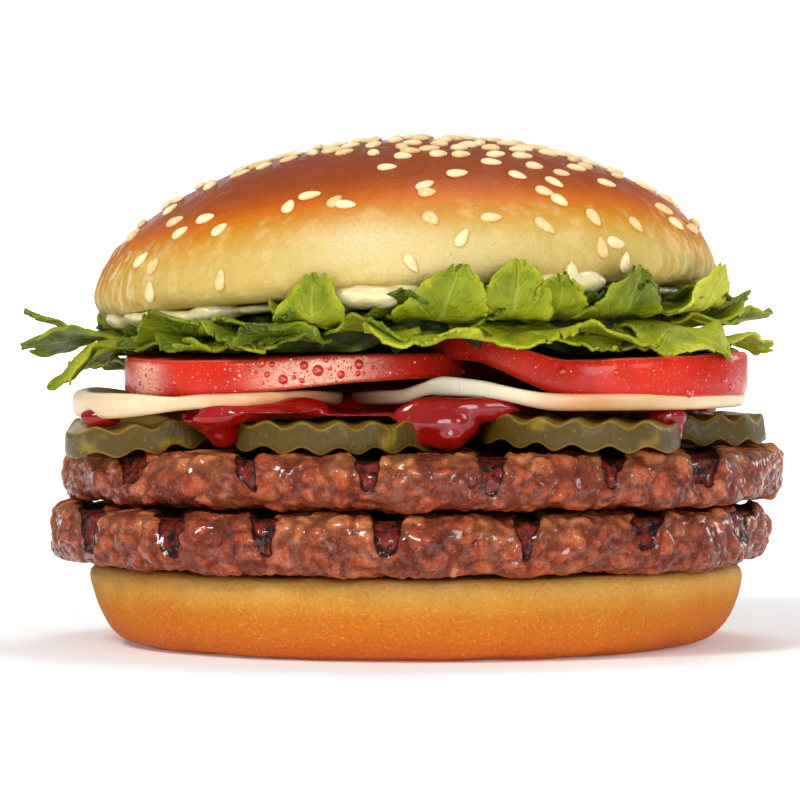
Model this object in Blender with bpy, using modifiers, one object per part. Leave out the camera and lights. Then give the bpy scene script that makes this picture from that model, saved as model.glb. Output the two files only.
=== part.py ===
"""A double hamburger: bun, two grilled patties, pickles, ketchup, onion, tomato, lettuce and mayonnaise.

Sizes are written in millimetres and become metres as each mesh is placed. +Z is up, the front faces -Y,
and the origin is the middle of the heel's flat base. Each layer rests on the one below with GAP between.
"""

import math
import random
from collections import namedtuple

import bmesh
import bpy
from mathutils import Euler, Matrix, Vector, noise
from mathutils.bvhtree import BVHTree

MM = 0.001
GAP = 0.3

# Driving dimensions, in millimetres. BEND lifts one tomato slice over the other; SAG and HUMP are in lie()
HEEL_RADIUS = 54.0
HEEL_HEIGHT = 13.3
PATTY_RADIUS = 58.8
PATTY_LOWER_THICKNESS = 9.9
PATTY_UPPER_THICKNESS = 9.0
PICKLE_THICKNESS = 4.0
PICKLE_WAVE = 0.42
PICKLE_WAVE_PITCH = 5.6
SAUCE_FILM = 0.6
KETCHUP_RADIUS = 47.0
ONION_HEIGHT = 2.3
ONION_WALL = 3.4
TOMATO_THICKNESS = 6.2
BEND_FROM, BEND_OVER = 25.0, 17.0
SAG, SAG_FROM, SAG_OVER = 1.2, 32.0, 25.0
HUMP, HUMP_AT, HUMP_SPREAD = 0.9, 3.0, 22.0
LETTUCE_RADIUS = 47.0
LEAF_THICKNESS = 0.8
MAYO_FILM = 1.2
MAYO_RADIUS = 46.0
CROWN_RADIUS = 51.0
CROWN_HEIGHT = 27.0
CROWN_EDGE_HEIGHT = 3.5
SEED_LENGTH = 3.6
SEED_WIDTH = 2.1
SEED_DEPTH = 1.3

# The crown lies askew: its left side is lower and its front is raised
CROWN_MIDDLE = Vector((-1.5, 0.0, 55.6))
CROWN_ROLL = math.radians(-3.4)
CROWN_PITCH = math.radians(-2.8)

# Heights of the layers, from the board up
LOWER_PATTY_BASE = HEEL_HEIGHT + GAP
UPPER_PATTY_BASE = LOWER_PATTY_BASE + PATTY_LOWER_THICKNESS + GAP
PICKLE_BASE = UPPER_PATTY_BASE + PATTY_UPPER_THICKNESS + GAP
PICKLE_TOP = PICKLE_BASE + PICKLE_THICKNESS + 2 * PICKLE_WAVE
FILM_BASE = PICKLE_TOP + GAP + 0.05
ONION_BASE = FILM_BASE + SAUCE_FILM + GAP + 0.05
TOMATO_BASE = ONION_BASE + ONION_HEIGHT + GAP

# The photograph: its viewpoint, and how its pixels measure the plane through the burger's middle
VIEW_FROM = Vector((-2.5, -850.0, 62.0))
PIXELS_PER_MM = 6.06
PIXEL_COLUMN_AHEAD = 400
PIXEL_ROW_LEVEL = 265

Chip = namedtuple("Chip", "x y radius tilt_x tilt_y ridge lift")
Ring = namedtuple("Ring", "x y radius rise droop phase")
Slice = namedtuple("Slice", "x y radius thickness thin_left thin_right rise seed")
Blob = namedtuple("Blob", "azimuth reach height width depth tall")
Leaf = namedtuple("Leaf", "azimuth reach height length width pitch curl roll sway ruffle phase")

PICKLES = {
    "pickle_front_left": Chip(-42.0, -22.0, 14.5, 5.0, -7.0, 14, -0.04),
    "pickle_front_middle": Chip(-12.8, -37.2, 15.7, 1.5, 0.0, 3, 0.0),
    "pickle_front_right": Chip(26.0, -36.6, 15.7, 1.5, 2.5, -6, 0.3),
    "pickle_right": Chip(43.6, -8.4, 13.6, 0.0, 1.0, 24, 0.0),
    "pickle_back_right": Chip(32.0, 27.5, 15.2, -1.0, 1.0, -40, 0.0),
    "pickle_back": Chip(-2.0, 41.0, 15.0, -1.5, 0.0, 10, 0.0),
    "pickle_back_left": Chip(-35.0, 23.0, 15.4, -1.0, -1.5, 55, 0.0),
}
ONIONS = {
    "onion_ring_left": Ring(-33.5, -20.0, 22.0, 1.8, 0.4, 3.6),
    "onion_ring_right": Ring(21.3, -14.5, 32.3, 0.8, 0.2, 5.6),
    "onion_ring_back": Ring(-8.0, 33.0, 23.0, 0.8, 0.2, 1.6),
}
TOMATOES = {
    "tomato_left": Slice(-19.5, -17.0, 27.8, TOMATO_THICKNESS, 0.0, 2.6, 0.0, 3),
    "tomato_right": Slice(27.5, -18.5, 26.2, 5.6, 1.8, 0.0, 4.4, 5),
    "tomato_back": Slice(4.5, 31.5, 24.8, TOMATO_THICKNESS, 0.0, 0.6, 0.0, 9),
}
KETCHUP_BLOBS = (
    Blob(-79, 53.5, 39.6, 7.0, 5.0, 3.0),
    Blob(-38, 51.0, 38.4, 15.0, 9.0, 4.6),
    Blob(-30, 50.0, 39.8, 22.0, 9.0, 2.4),
    Blob(4, 49.0, 37.6, 17.0, 11.0, 8.4),
    Blob(13, 49.5, 39.4, 16.0, 9.0, 4.6),
    Blob(50, 51.5, 38.0, 8.0, 9.0, 5.6),
    Blob(112, 50.5, 38.4, 11.0, 9.0, 5.2),
    Blob(160, 50.5, 38.0, 12.0, 9.0, 6.0),
    Blob(238, 50.5, 38.2, 13.0, 9.0, 5.6),
)
MAYO_BLOBS = (
    Blob(-57, 47.5, 53.8, 26.0, 9.0, 3.0),
    Blob(-9, 48.5, 57.2, 13.5, 10.0, 4.6),
    Blob(27, 48.5, 58.8, 13.0, 9.0, 3.8),
    Blob(118, 47.5, 57.4, 20.0, 8.0, 3.0),
    Blob(176, 47.5, 53.2, 24.0, 8.0, 3.0),
    Blob(236, 47.5, 51.6, 18.0, 8.0, 2.8),
)

# The leaves that the photograph shows, from the left round the front to the right
FRONT_LEAVES = (
    Leaf(-84, 41, 50.6, 24, 17, 2, -10, 10, -2, 1.3, 0.2),
    Leaf(-88, 45, 50.6, 20, 3.4, 4, 20, 0, 2, 0.2, 0.0),
    Leaf(-72, 44, 49.8, 21, 13, -3, -42, 8, 2, 1.5, 1.1),
    Leaf(-52, 42, 51.0, 15, 15, 4, 28, 12, 4, 1.4, 2.0),
    Leaf(-36, 42, 50.4, 14, 14, -4, -18, -14, 3, 1.6, 3.3),
    Leaf(-24, 43, 51.2, 15, 12, -6, 16, 10, -3, 1.5, 0.7),
    Leaf(-20, 45, 52.4, 14.5, 10, 8, 80, 0, 3, 0.6, 4.1),
    Leaf(-10, 43, 51.4, 13, 12, -4, 12, -12, 4, 1.5, 2.6),
    Leaf(4, 44, 50.2, 13, 17, -8, -24, 0, -3, 1.6, 5.2),
    Leaf(2, 45, 53.4, 15.5, 12, 6, 78, -16, 5, 0.6, 3.0),
    Leaf(16, 45, 53.6, 16, 11, 6, 82, 0, 1, 0.6, 1.4),
    Leaf(20, 43, 51.4, 15, 13, -10, -22, 10, 2, 1.3, 0.3),
    Leaf(27, 45, 53.6, 14, 9, 12, 52, 0, -3, 0.7, 2.2),
    Leaf(36, 43, 51.2, 15, 13, -8, -14, -8, 4, 1.4, 4.6),
    Leaf(38, 45, 53.8, 14.5, 13, 6, 74, 8, 2, 0.8, 5.9),
    Leaf(50, 43, 50.6, 17, 15, -12, -26, 4, 3, 1.4, 1.9),
    Leaf(62, 45, 54.4, 14, 10, 6, 76, 0, 3, 0.6, 3.7),
    Leaf(73, 43, 53.2, 14.5, 13, 4, 30, 14, 2, 1.0, 0.9),
    Leaf(84, 43, 50.2, 16, 12, -2, -8, -6, 4, 1.2, 2.9),
)
LEAVES_BEHIND = 12
BEHIND_FROM, BEHIND_TO = 96, 262
LEAF_SEED = 11
LEAF_CELLS_ALONG, LEAF_CELLS_ACROSS = 5, 2

# Sesame seeds that the photograph shows: pixel column, pixel row, and turn on the crust in degrees
SEEDS_SEEN = (
    (142, 260, 50), (154, 266, 60), (151, 292, 80), (176, 222, 30), (181, 233, 45), (206, 219, 20),
    (220, 230, 55), (221, 280, 85), (289, 207, 95), (310, 196, 20), (335, 202, 60), (346, 205, -5),
    (387, 168, 10), (403, 157, 0), (410, 152, 0), (425, 186, 35), (427, 193, 10), (431, 219, -50),
    (457, 174, 10), (459, 149, 5), (462, 238, 60), (491, 163, -15), (491, 218, 5), (411, 263, -55),
    (517, 176, -40), (534, 167, -20), (522, 157, -10), (544, 192, -40), (544, 226, -50), (554, 183, -70),
    (559, 201, -60), (561, 174, -20), (593, 218, -85), (606, 184, -30), (576, 169, -25), (601, 248, 85),
    (615, 243, -10), (635, 225, -75), (663, 210, -40), (675, 224, -60),
)
SEEDS_OVER_THE_REST = 36
REST_SPACING = 7.2
SEED_DRAW = 4


def rgb(red, green, blue):
    """A base colour with full alpha."""
    return (red, green, blue, 1.0)


def finish(name, colour, roughness):
    """A Principled material of one food."""
    material = bpy.data.materials.new(name)
    material.use_nodes = True
    shader = material.node_tree.nodes["Principled BSDF"]
    shader.inputs["Base Color"].default_value = colour
    shader.inputs["Roughness"].default_value = roughness
    shader.inputs["Metallic"].default_value = 0.0
    material.diffuse_color = colour
    return material


def clear_scene():
    """Removes whatever the opened file holds."""
    for obj in list(bpy.data.objects):
        bpy.data.objects.remove(obj)


def collection(name):
    """A new collection under the scene's own."""
    made = bpy.data.collections.new(name)
    bpy.context.scene.collection.children.link(made)
    return made


def round_about(azimuth, reach, height):
    """The point at an azimuth in degrees from the front (-Y, with +X at 90), a reach, and a height."""
    turn = math.radians(azimuth)
    return Vector((reach * math.sin(turn), -reach * math.cos(turn), height))


def smooth(share):
    """Eases a share of the way from 0 to 1, and holds it there outside."""
    share = min(1.0, max(0.0, share))
    return share * share * (3 - 2 * share)


def evaluated_mesh(obj):
    """The object's mesh as its modifiers leave it."""
    graph = bpy.context.evaluated_depsgraph_get()
    graph.update()
    return bpy.data.meshes.new_from_object(obj.evaluated_get(graph))


def bake(obj):
    """Makes the object's modifiers part of its mesh."""
    mesh = evaluated_mesh(obj)
    old = obj.data
    obj.modifiers.clear()
    obj.data = mesh
    bpy.data.meshes.remove(old)
    return obj


def new_object(name, mesh, group):
    """An object of the mesh, linked to the group."""
    obj = bpy.data.objects.new(name, mesh)
    group.objects.link(obj)
    return obj


def mesh_of(builder, name):
    """A mesh from a bmesh, which is freed."""
    mesh = bpy.data.meshes.new(name)
    builder.to_mesh(mesh)
    builder.free()
    return mesh


def turned(name, profile, steps, group):
    """A solid of revolution, from (radius, height) pairs that run from the top down the outside."""
    mesh = bpy.data.meshes.new(name)
    links = [(i, i + 1) for i in range(len(profile) - 1)]
    mesh.from_pydata([(radius, 0, height) for radius, height in profile], links, [])
    obj = new_object(name, mesh, group)
    screw = obj.modifiers.new("Turn", "SCREW")
    screw.steps = screw.render_steps = steps
    screw.use_merge_vertices = True
    screw.merge_threshold = 0.0001
    return bake(obj)


def reshape(obj, move):
    """Moves each vertex of the object's mesh to move(point), in the mesh's own millimetres."""
    for vertex in obj.data.vertices:
        vertex.co = move(vertex.co.copy())
    obj.data.update()
    return obj


def place(obj, material, at=(0, 0, 0), turn=(0, 0, 0)):
    """Brings a mesh in millimetres to metres, puts the object where it lies, and gives it its material."""
    obj.data.transform(Matrix.Scale(MM, 4))
    obj.location = Vector(at) * MM
    obj.rotation_euler = turn
    obj.data.materials.clear()
    obj.data.materials.append(material)
    obj.data.shade_smooth()
    obj.data.set_sharp_from_angle(angle=math.radians(50))
    obj.parent = bpy.data.objects["burger"]
    return obj


def boolean(obj, operation, solver, other=None, group=None):
    """Joins, cuts or keeps the overlap of the object with another, or with every object of a group."""
    modifier = obj.modifiers.new(operation.title(), "BOOLEAN")
    modifier.operation = operation
    modifier.solver = solver
    if group:
        modifier.operand_type = "COLLECTION"
        modifier.collection = group
    else:
        modifier.object = other
    return bake(obj)


def remove_all(group):
    """Removes a group of helpers with its objects."""
    for obj in list(group.objects):
        bpy.data.objects.remove(obj)
    bpy.data.collections.remove(group)


def keep_largest_piece(obj):
    """Drops the loose scraps that a cut leaves, and keeps the piece with the most faces."""
    builder = bmesh.new()
    builder.from_mesh(obj.data)
    left = set(builder.faces)
    pieces = []
    while left:
        front = [left.pop()]
        piece = set(front)
        while front:
            for edge in front.pop().edges:
                for face in edge.link_faces if len(edge.link_faces) == 2 else ():
                    if face in left:
                        left.remove(face)
                        piece.add(face)
                        front.append(face)
        pieces.append(piece)
    largest = max(pieces, key=len)
    scraps = [face for piece in pieces if piece is not largest for face in piece]
    bmesh.ops.delete(builder, geom=scraps, context="FACES")
    loose = [vertex for vertex in builder.verts if not vertex.link_faces]
    bmesh.ops.delete(builder, geom=loose, context="VERTS")
    bmesh.ops.dissolve_limit(builder, angle_limit=math.radians(0.5), verts=builder.verts, edges=builder.edges)
    bmesh.ops.triangulate(builder, faces=builder.faces)
    builder.to_mesh(obj.data)
    builder.free()
    return obj


def superellipse_edge(radius, half_height, corner, rows):
    """The rounded side of a flat disc, from its top face to its bottom face, as (radius, height) pairs."""
    points = []
    for row in range(rows + 1):
        turn = math.pi * (0.5 - row / rows)
        points.append((radius - corner + corner * math.cos(turn) ** 0.8, half_height * math.sin(turn)))
    return points


def heel_bun(parts):
    """The bottom half of the bun: a flat base, a rounded lower corner and an almost upright side."""
    profile = [
        (0, HEEL_HEIGHT), (HEEL_RADIUS - 1.6, HEEL_HEIGHT), (HEEL_RADIUS, HEEL_HEIGHT - 1.3),
        (HEEL_RADIUS - 1.0, 7.6), (HEEL_RADIUS - 2.9, 3.4), (HEEL_RADIUS - 5.4, 1.0), (HEEL_RADIUS - 9.0, 0),
        (0, 0),
    ]
    heel = turned("heel_bun", profile, 44, parts)

    def uneven(point):
        swell = 1 + 0.014 * noise.noise(Vector((point.x, point.y, 0)) / 38 + Vector((2, 5, 1)))
        return Vector((point.x * swell, point.y * swell, point.z))

    reshape(heel, uneven)
    return place(heel, finish("toasted_heel", rgb(0.72, 0.40, 0.13), 0.75))


def patty(name, thickness, base, x, draw, parts):
    """A grilled patty: a lumpy outline, a rounded side with crags, and slightly uneven faces."""
    half = thickness / 2
    face_rows = (0.75,)
    top = [(0, half)] + [(PATTY_RADIUS * share, half) for share in face_rows]
    side = superellipse_edge(PATTY_RADIUS, half * 0.96, 4.0, 5)
    bottom = [(PATTY_RADIUS * share, -half) for share in reversed(face_rows)] + [(0, -half)]
    obj = turned(name, top + side + bottom, 44, parts)

    def craggy(point):
        out = Vector((point.x, point.y, 0))
        share = out.length / PATTY_RADIUS
        around = noise.noise(Vector((point.x, point.y, draw * 7)) / 26)
        crag = noise.noise(point / 7 + Vector((draw, 0, 0)))
        moved = out * (1 + 0.016 * around + 0.022 * crag * smooth((share - 0.8) / 0.2))
        dent = 0.55 * abs(noise.noise(Vector((point.x, point.y, draw * 3)) / 11))
        height = point.z - math.copysign(dent, point.z) * min(1.0, abs(point.z) / half)
        return Vector((moved.x, moved.y, height))

    reshape(obj, craggy)
    return place(obj, finish(name + "_meat", rgb(0.25, 0.10, 0.06), 0.45), at=(x, 0, base + half))


def wavy_slab(name, reach, thickness, ridge, group):
    """A slab whose two faces rise and fall together in straight ridges, as a crinkle cutter leaves them."""
    half_waves = math.ceil(2 * reach / PICKLE_WAVE_PITCH)
    builder = bmesh.new()
    bmesh.ops.create_grid(
        builder, x_segments=2 * half_waves, y_segments=1, size=half_waves * PICKLE_WAVE_PITCH / 2
    )
    slab = new_object(name, mesh_of(builder, name), group)

    def crinkle(point):
        wave = PICKLE_WAVE * math.cos(2 * math.pi * point.x / PICKLE_WAVE_PITCH)
        return Vector((point.x, point.y, wave - thickness / 2))

    reshape(slab, crinkle)
    builder = bmesh.new()
    builder.from_mesh(slab.data)
    raised = bmesh.ops.extrude_face_region(builder, geom=builder.faces[:])
    top = [item for item in raised["geom"] if isinstance(item, bmesh.types.BMVert)]
    bmesh.ops.translate(builder, verts=top, vec=(0, 0, thickness))
    bmesh.ops.recalc_face_normals(builder, faces=builder.faces)
    builder.to_mesh(slab.data)
    builder.free()
    slab.data.transform(Matrix.Rotation(math.radians(ridge), 4, "Z"))
    return slab


def pickle_solid(name, chip, grow, group):
    """A crinkle-cut pickle chip: a wavy slab cut round. grow makes it that much larger all over."""
    slab = wavy_slab(name, chip.radius + grow + 1, PICKLE_THICKNESS + 2 * grow, chip.ridge, group)
    builder = bmesh.new()
    round_cut = chip.radius + grow
    bmesh.ops.create_cone(
        builder, cap_ends=True, segments=26, radius1=round_cut - 0.5, radius2=round_cut, depth=16
    )
    cutter = new_object(name + "_round", mesh_of(builder, name), group)
    boolean(slab, "INTERSECT", "EXACT", other=cutter)
    bpy.data.objects.remove(cutter)
    return slab


def pickle_at(chip):
    """Where a chip's middle lies: its tilt is lifted so that it stays clear of the patty."""
    low_side = chip.radius * math.sin(math.radians(abs(chip.tilt_x) + abs(chip.tilt_y))) * 0.12
    middle = PICKLE_BASE + PICKLE_WAVE + PICKLE_THICKNESS / 2 + low_side + chip.lift
    return (chip.x, chip.y, middle), (math.radians(chip.tilt_x), math.radians(chip.tilt_y), 0)


def pickle(name, chip, parts):
    """One pickle chip, laid on the upper patty."""
    at, turn = pickle_at(chip)
    return place(pickle_solid(name, chip, 0, parts), finish(name, rgb(0.22, 0.24, 0.04), 0.3), at, turn)


def lie(x, y):
    """How far onion and tomato lie above their layer's height: they sag at the front left."""
    front_left = -(0.8 * x + 0.6 * y)
    hump = HUMP * smooth(1 - abs(x - HUMP_AT) / HUMP_SPREAD)
    return hump - SAG * smooth((front_left - SAG_FROM) / SAG_OVER)


def onion_solid(name, ring, grow, group):
    """A ring of onion: a band, thicker outside, that rises at its outer side and droops a little there."""
    outer = ring.radius + grow
    inner = ring.radius - ONION_WALL - grow
    low, high = -grow, ONION_HEIGHT + grow
    profile = [
        (inner, low), (inner, high), (outer - 0.8, high),
        (outer, high - 0.9), (outer - 0.5, low), (inner, low),
    ]
    obj = turned(name, profile, 26, group)

    def bend(point):
        x, y = ring.x + point.x, ring.y + point.y
        clear = min(Vector((x - cut.x, y - cut.y)).length - cut.radius for cut in TOMATOES.values())
        outside = smooth((clear - 1.6) / 5)
        sag = 0.4 * (0.5 + 0.5 * math.sin(3 * math.atan2(point.y, point.x) + ring.phase))
        upper = max(0.0, point.z / ONION_HEIGHT)
        shift = (ring.rise * outside - sag) * upper - ring.droop * outside * (1 - upper)
        return Vector((point.x, point.y, point.z + shift + lie(x, y)))

    reshape(obj, bend)
    builder = bmesh.new()
    builder.from_mesh(obj.data)
    bmesh.ops.remove_doubles(builder, verts=builder.verts, dist=0.001)
    bmesh.ops.recalc_face_normals(builder, faces=builder.faces)
    builder.to_mesh(obj.data)
    builder.free()
    return obj


def onion(name, ring, parts):
    """One ring of raw onion over the pickles."""
    obj = onion_solid(name, ring, 0, parts)
    return place(obj, finish(name, rgb(0.86, 0.80, 0.62), 0.35), at=(ring.x, ring.y, ONION_BASE))


def tomato_solid(name, cut, grow, group):
    """A slice of tomato, uneven in thickness. The right one bends up on its left, over its neighbour."""
    half = cut.thickness / 2 + grow
    edge = cut.radius + grow
    inner = cut.radius * 0.66
    profile = [
        (0, half), (inner, half), (edge - 1.0, half), (edge, half - 1.0),
        (edge, 1.0 - half), (edge - 1.0, -half), (inner, -half), (0, -half),
    ]
    obj = turned(name, profile, 26, group)

    def sag(point):
        swell = 1 + 0.03 * noise.noise(Vector((point.x / 22, point.y / 22, cut.seed)))
        across = 0.5 + point.x / (2 * cut.radius)
        thin = (cut.thin_right * across + cut.thin_left * (1 - across)) * (0.5 + point.z / cut.thickness)
        bent = cut.rise * smooth((BEND_FROM - cut.x - point.x) / BEND_OVER)
        height = point.z + cut.thickness / 2 - thin + bent + lie(cut.x + point.x, cut.y + point.y)
        return Vector((point.x * swell, point.y * swell, height))

    return reshape(obj, sag)


def tomato(name, cut, parts):
    """One slice of tomato over the onion."""
    obj = tomato_solid(name, cut, 0, parts)
    return place(obj, finish(name, rgb(0.72, 0.05, 0.02), 0.2), at=(cut.x, cut.y, TOMATO_BASE))


def ellipsoid(name, size, at, turn_z, group, segments=8, rings=6):
    """A blob with the three full widths of size, turned about the vertical."""
    builder = bmesh.new()
    bmesh.ops.create_uvsphere(builder, u_segments=segments, v_segments=rings, radius=0.5)
    bmesh.ops.scale(builder, verts=builder.verts, vec=size)
    bmesh.ops.rotate(builder, verts=builder.verts, matrix=Matrix.Rotation(turn_z, 3, "Z"))
    bmesh.ops.translate(builder, verts=builder.verts, vec=at)
    return new_object(name, mesh_of(builder, name), group)


def sauce(name, film, blobs, cutters):
    """A film of sauce with thick blobs round its edge, cut back from what it lies on and under."""
    joined = collection(name + "_blobs")
    for number, blob in enumerate(blobs):
        at = round_about(blob.azimuth, blob.reach, blob.height)
        ellipsoid(
            f"{name}_blob_{number}", (blob.width, blob.depth, blob.tall), at,
            math.radians(blob.azimuth), joined,
        )
    boolean(film, "UNION", "MANIFOLD", group=joined)
    remove_all(joined)
    boolean(film, "DIFFERENCE", "MANIFOLD", group=cutters)
    remove_all(cutters)
    return keep_largest_piece(film)


def set_cutter(obj, at=(0, 0, 0), turn=(0, 0, 0)):
    """Moves a cutter's mesh to where the piece that it makes room for lies, and keeps it out of the model."""
    obj.data.transform(Matrix.LocRotScale(Vector(at), Euler(turn), None))
    obj.hide_render = True
    obj.display_type = "WIRE"


def ketchup(parts):
    """Ketchup: a film between pickles and onion, with thick drips down between the chips."""
    top, low = FILM_BASE + SAUCE_FILM, FILM_BASE
    film = turned("ketchup", [(0, top), (KETCHUP_RADIUS, top), (KETCHUP_RADIUS, low), (0, low)], 24, parts)
    cutters = collection("ketchup_cutters")
    deep = PICKLE_THICKNESS / 2 + PICKLE_WAVE + GAP
    for name, chip in PICKLES.items():
        at, turn = pickle_at(chip)
        out = chip.radius + GAP
        cutter = turned(name + "_room", [(0, deep), (out, deep), (out, -deep), (0, -deep)], 20, cutters)
        set_cutter(cutter, at, turn)
    for name, ring in ONIONS.items():
        set_cutter(onion_solid(name + "_room", ring, GAP, cutters), (ring.x, ring.y, ONION_BASE))
    beyond = PATTY_RADIUS + 10
    patty_top = [(0, PICKLE_BASE), (beyond, PICKLE_BASE), (beyond, LOWER_PATTY_BASE), (0, LOWER_PATTY_BASE)]
    set_cutter(turned("patty_room", patty_top, 32, cutters))
    for name, cut in TOMATOES.items():
        set_cutter(tomato_solid(name + "_room", cut, GAP, cutters), (cut.x, cut.y, TOMATO_BASE))
    made = sauce("ketchup", film, KETCHUP_BLOBS, cutters)
    return place(made, finish("ketchup", rgb(0.42, 0.01, 0.01), 0.15))


def crown_profile(grow=0.0):
    """The crown's side from the top of the dome down and in to its flat underside, which is height 0."""
    radius = CROWN_RADIUS + grow
    tall = CROWN_HEIGHT - CROWN_EDGE_HEIGHT + grow
    points = [(0, CROWN_HEIGHT + grow)]
    for row in range(1, 8):
        turn = math.radians(90 * (1 - row / 7))
        points.append((radius * math.cos(turn), CROWN_EDGE_HEIGHT + tall * math.sin(turn) ** 1.16))
    tuck = 3.6
    for row in (1, 2):
        turn = math.radians(-45 * row)
        low = CROWN_EDGE_HEIGHT + grow
        points.append((radius - tuck * (1 - math.cos(turn)), CROWN_EDGE_HEIGHT + low * math.sin(turn)))
    return points + [(0, -grow)]


def crown_matrix():
    """Takes the crown from its own level frame to where it lies askew on the burger."""
    tilt = Matrix.Rotation(CROWN_ROLL, 4, "Y") @ Matrix.Rotation(CROWN_PITCH, 4, "X")
    return Matrix.Translation(CROWN_MIDDLE) @ tilt


def crown_underside(x, y):
    """The height of the crown's flat underside over a point."""
    across = (x - CROWN_MIDDLE.x) * math.tan(-CROWN_ROLL)
    along = (y - CROWN_MIDDLE.y) * math.tan(CROWN_PITCH)
    return CROWN_MIDDLE.z + across + along


def crown_swell(point):
    """The crown's slow unevenness, which no baker's mould would leave out."""
    swell = 1 + 0.016 * noise.noise(Vector((point.x, point.y, 4)) / 34)
    return Vector((point.x * swell, point.y * swell, point.z))


def photo_ray(column, row):
    """The line of sight through a pixel of the photograph."""
    across = VIEW_FROM.x + (column - PIXEL_COLUMN_AHEAD) / PIXELS_PER_MM
    up = VIEW_FROM.z - (row - PIXEL_ROW_LEVEL) / PIXELS_PER_MM
    return VIEW_FROM, (Vector((across, 0, up)) - VIEW_FROM).normalized()


def seed_places(dome):
    """Each sesame seed's (point, normal, turn): those of the photograph first, then the rest, well spread."""
    found = []
    for column, row, turn in SEEDS_SEEN:
        start, sight = photo_ray(column, row)
        point, normal, _, _ = dome.ray_cast(start, sight)
        if point:
            found.append((point, normal, turn))
    draw = random.Random(SEED_DRAW)
    wanted = len(found) + SEEDS_OVER_THE_REST
    while len(found) < wanted:
        azimuth = draw.uniform(62, 298)
        reach = CROWN_RADIUS * 0.96 * math.sqrt(draw.random())
        if draw.random() < 0.35:
            azimuth = draw.uniform(0, 360)
            reach = 20 * math.sqrt(draw.random())
        start = round_about(azimuth, reach, 200)
        point, normal, _, _ = dome.ray_cast(start, Vector((0, 0, -1)))
        if point and all((point - other).length > REST_SPACING for other, _, _ in found):
            found.append((point, normal, draw.uniform(0, 180)))
    return found


def sesame_seed(name, point, normal, turn, group):
    """A teardrop seed lying in the crust, with its lower half sunk."""
    builder = bmesh.new()
    bmesh.ops.create_icosphere(builder, subdivisions=1, radius=0.5)
    bmesh.ops.rotate(builder, verts=builder.verts, matrix=Matrix.Rotation(math.pi / 2, 3, "Y"))
    for vertex in builder.verts:
        taper = 1 - 0.5 * vertex.co.x
        size = (SEED_LENGTH, SEED_WIDTH * taper, SEED_DEPTH)
        vertex.co = Vector([along * full for along, full in zip(vertex.co, size)])
    across = Vector((0, 0, 1)).cross(normal)
    across = across.normalized() if across.length > 0.05 else Vector((1, 0, 0))
    frame = Matrix((across, normal.cross(across), normal)).transposed()
    spun = frame @ Matrix.Rotation(math.radians(turn), 3, "Z")
    bmesh.ops.rotate(builder, verts=builder.verts, matrix=spun)
    bmesh.ops.translate(builder, verts=builder.verts, vec=point + normal * SEED_DEPTH * 0.16)
    return new_object(name, mesh_of(builder, name), group)


def crown_bun(parts):
    """The top half of the bun, with its sesame seeds fused to the crust."""
    crown = turned("crown_bun", crown_profile(), 36, parts)
    reshape(crown, crown_swell)
    crown.data.transform(crown_matrix())
    dome = tree_of(crown)
    seeds = collection("sesame")
    for number, (point, normal, turn) in enumerate(seed_places(dome)):
        sesame_seed(f"seed_{number}", point, normal, turn, seeds)
    boolean(crown, "UNION", "MANIFOLD", group=seeds)
    remove_all(seeds)
    return place(keep_largest_piece(crown), finish("baked_crown", rgb(0.62, 0.28, 0.07), 0.35))


def mayonnaise(parts):
    """Mayonnaise: a film under the crown that squeezes out in soft lips round its edge."""
    low = -GAP - MAYO_FILM
    film = turned("mayonnaise", [(0, 1), (MAYO_RADIUS, 1), (MAYO_RADIUS, low), (0, low)], 26, parts)
    film.data.transform(crown_matrix())
    cutters = collection("mayonnaise_cutters")
    room = turned("crown_room", crown_profile(GAP), 36, cutters)
    reshape(room, crown_swell)
    room.data.transform(crown_matrix())
    set_cutter(room)
    made = sauce("mayonnaise", film, MAYO_BLOBS, cutters)
    return place(made, finish("mayonnaise", rgb(0.9, 0.86, 0.7), 0.25))


def tree_of(*objects):
    """One search tree over the objects' world-space meshes, in the units that they are in."""
    points, faces = [], []
    for obj in objects:
        matrix = Matrix.LocRotScale(obj.location, obj.rotation_euler, None)
        start = len(points)
        points += [matrix @ vertex.co for vertex in obj.data.vertices]
        faces += [[start + i for i in polygon.vertices] for polygon in obj.data.polygons]
    return BVHTree.FromPolygons(points, faces)


def height_under(tree, x, y, spread, start, way):
    """The highest point of the tree round a place looking down, or the lowest looking up, in millimetres."""
    found = []
    for turn in range(0, 360, 45):
        for reach in (0, spread / 2, spread):
            at = Vector((x, y, 0)) + round_about(turn, reach, 0)
            hit = tree.ray_cast(Vector((at.x, at.y, start)) * MM, Vector((0, 0, way)))[0]
            if hit:
                found.append(hit.z / MM)
    if not found:
        return None
    return max(found) if way < 0 else min(found)


def lettuce_core(below, above, group):
    """The packed middle of the salad: it fills the room between the slices of tomato and the mayonnaise."""
    profile = [(0, 1)]
    shares = (0.4, 0.75, 1.0)
    profile += [(LETTUCE_RADIUS * share, 1) for share in shares]
    profile += [(LETTUCE_RADIUS * share, -1) for share in reversed(shares)] + [(0, -1)]
    core = turned("lettuce", profile, 26, group)
    cell = 11.0

    def fill(point):
        low = height_under(below, point.x, point.y, cell, 58, -1)
        low = TOMATO_BASE + 3.0 if low is None else max(low, TOMATO_BASE + 3.0)
        high = height_under(above, point.x, point.y, cell, 50, 1)
        underside = crown_underside(point.x, point.y) - GAP
        high = underside if high is None else min(high, underside)
        height = low + GAP if point.z < 0 else high - GAP
        return Vector((point.x, point.y, height))

    return reshape(core, fill)


def leaf_heading(leaf, along):
    """How steeply a leaf climbs there: it starts at its pitch, and past the crown's rim takes its curl."""
    return math.radians(leaf.pitch + (leaf.curl - leaf.pitch) * smooth((along - 0.3) / 0.4))


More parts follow.
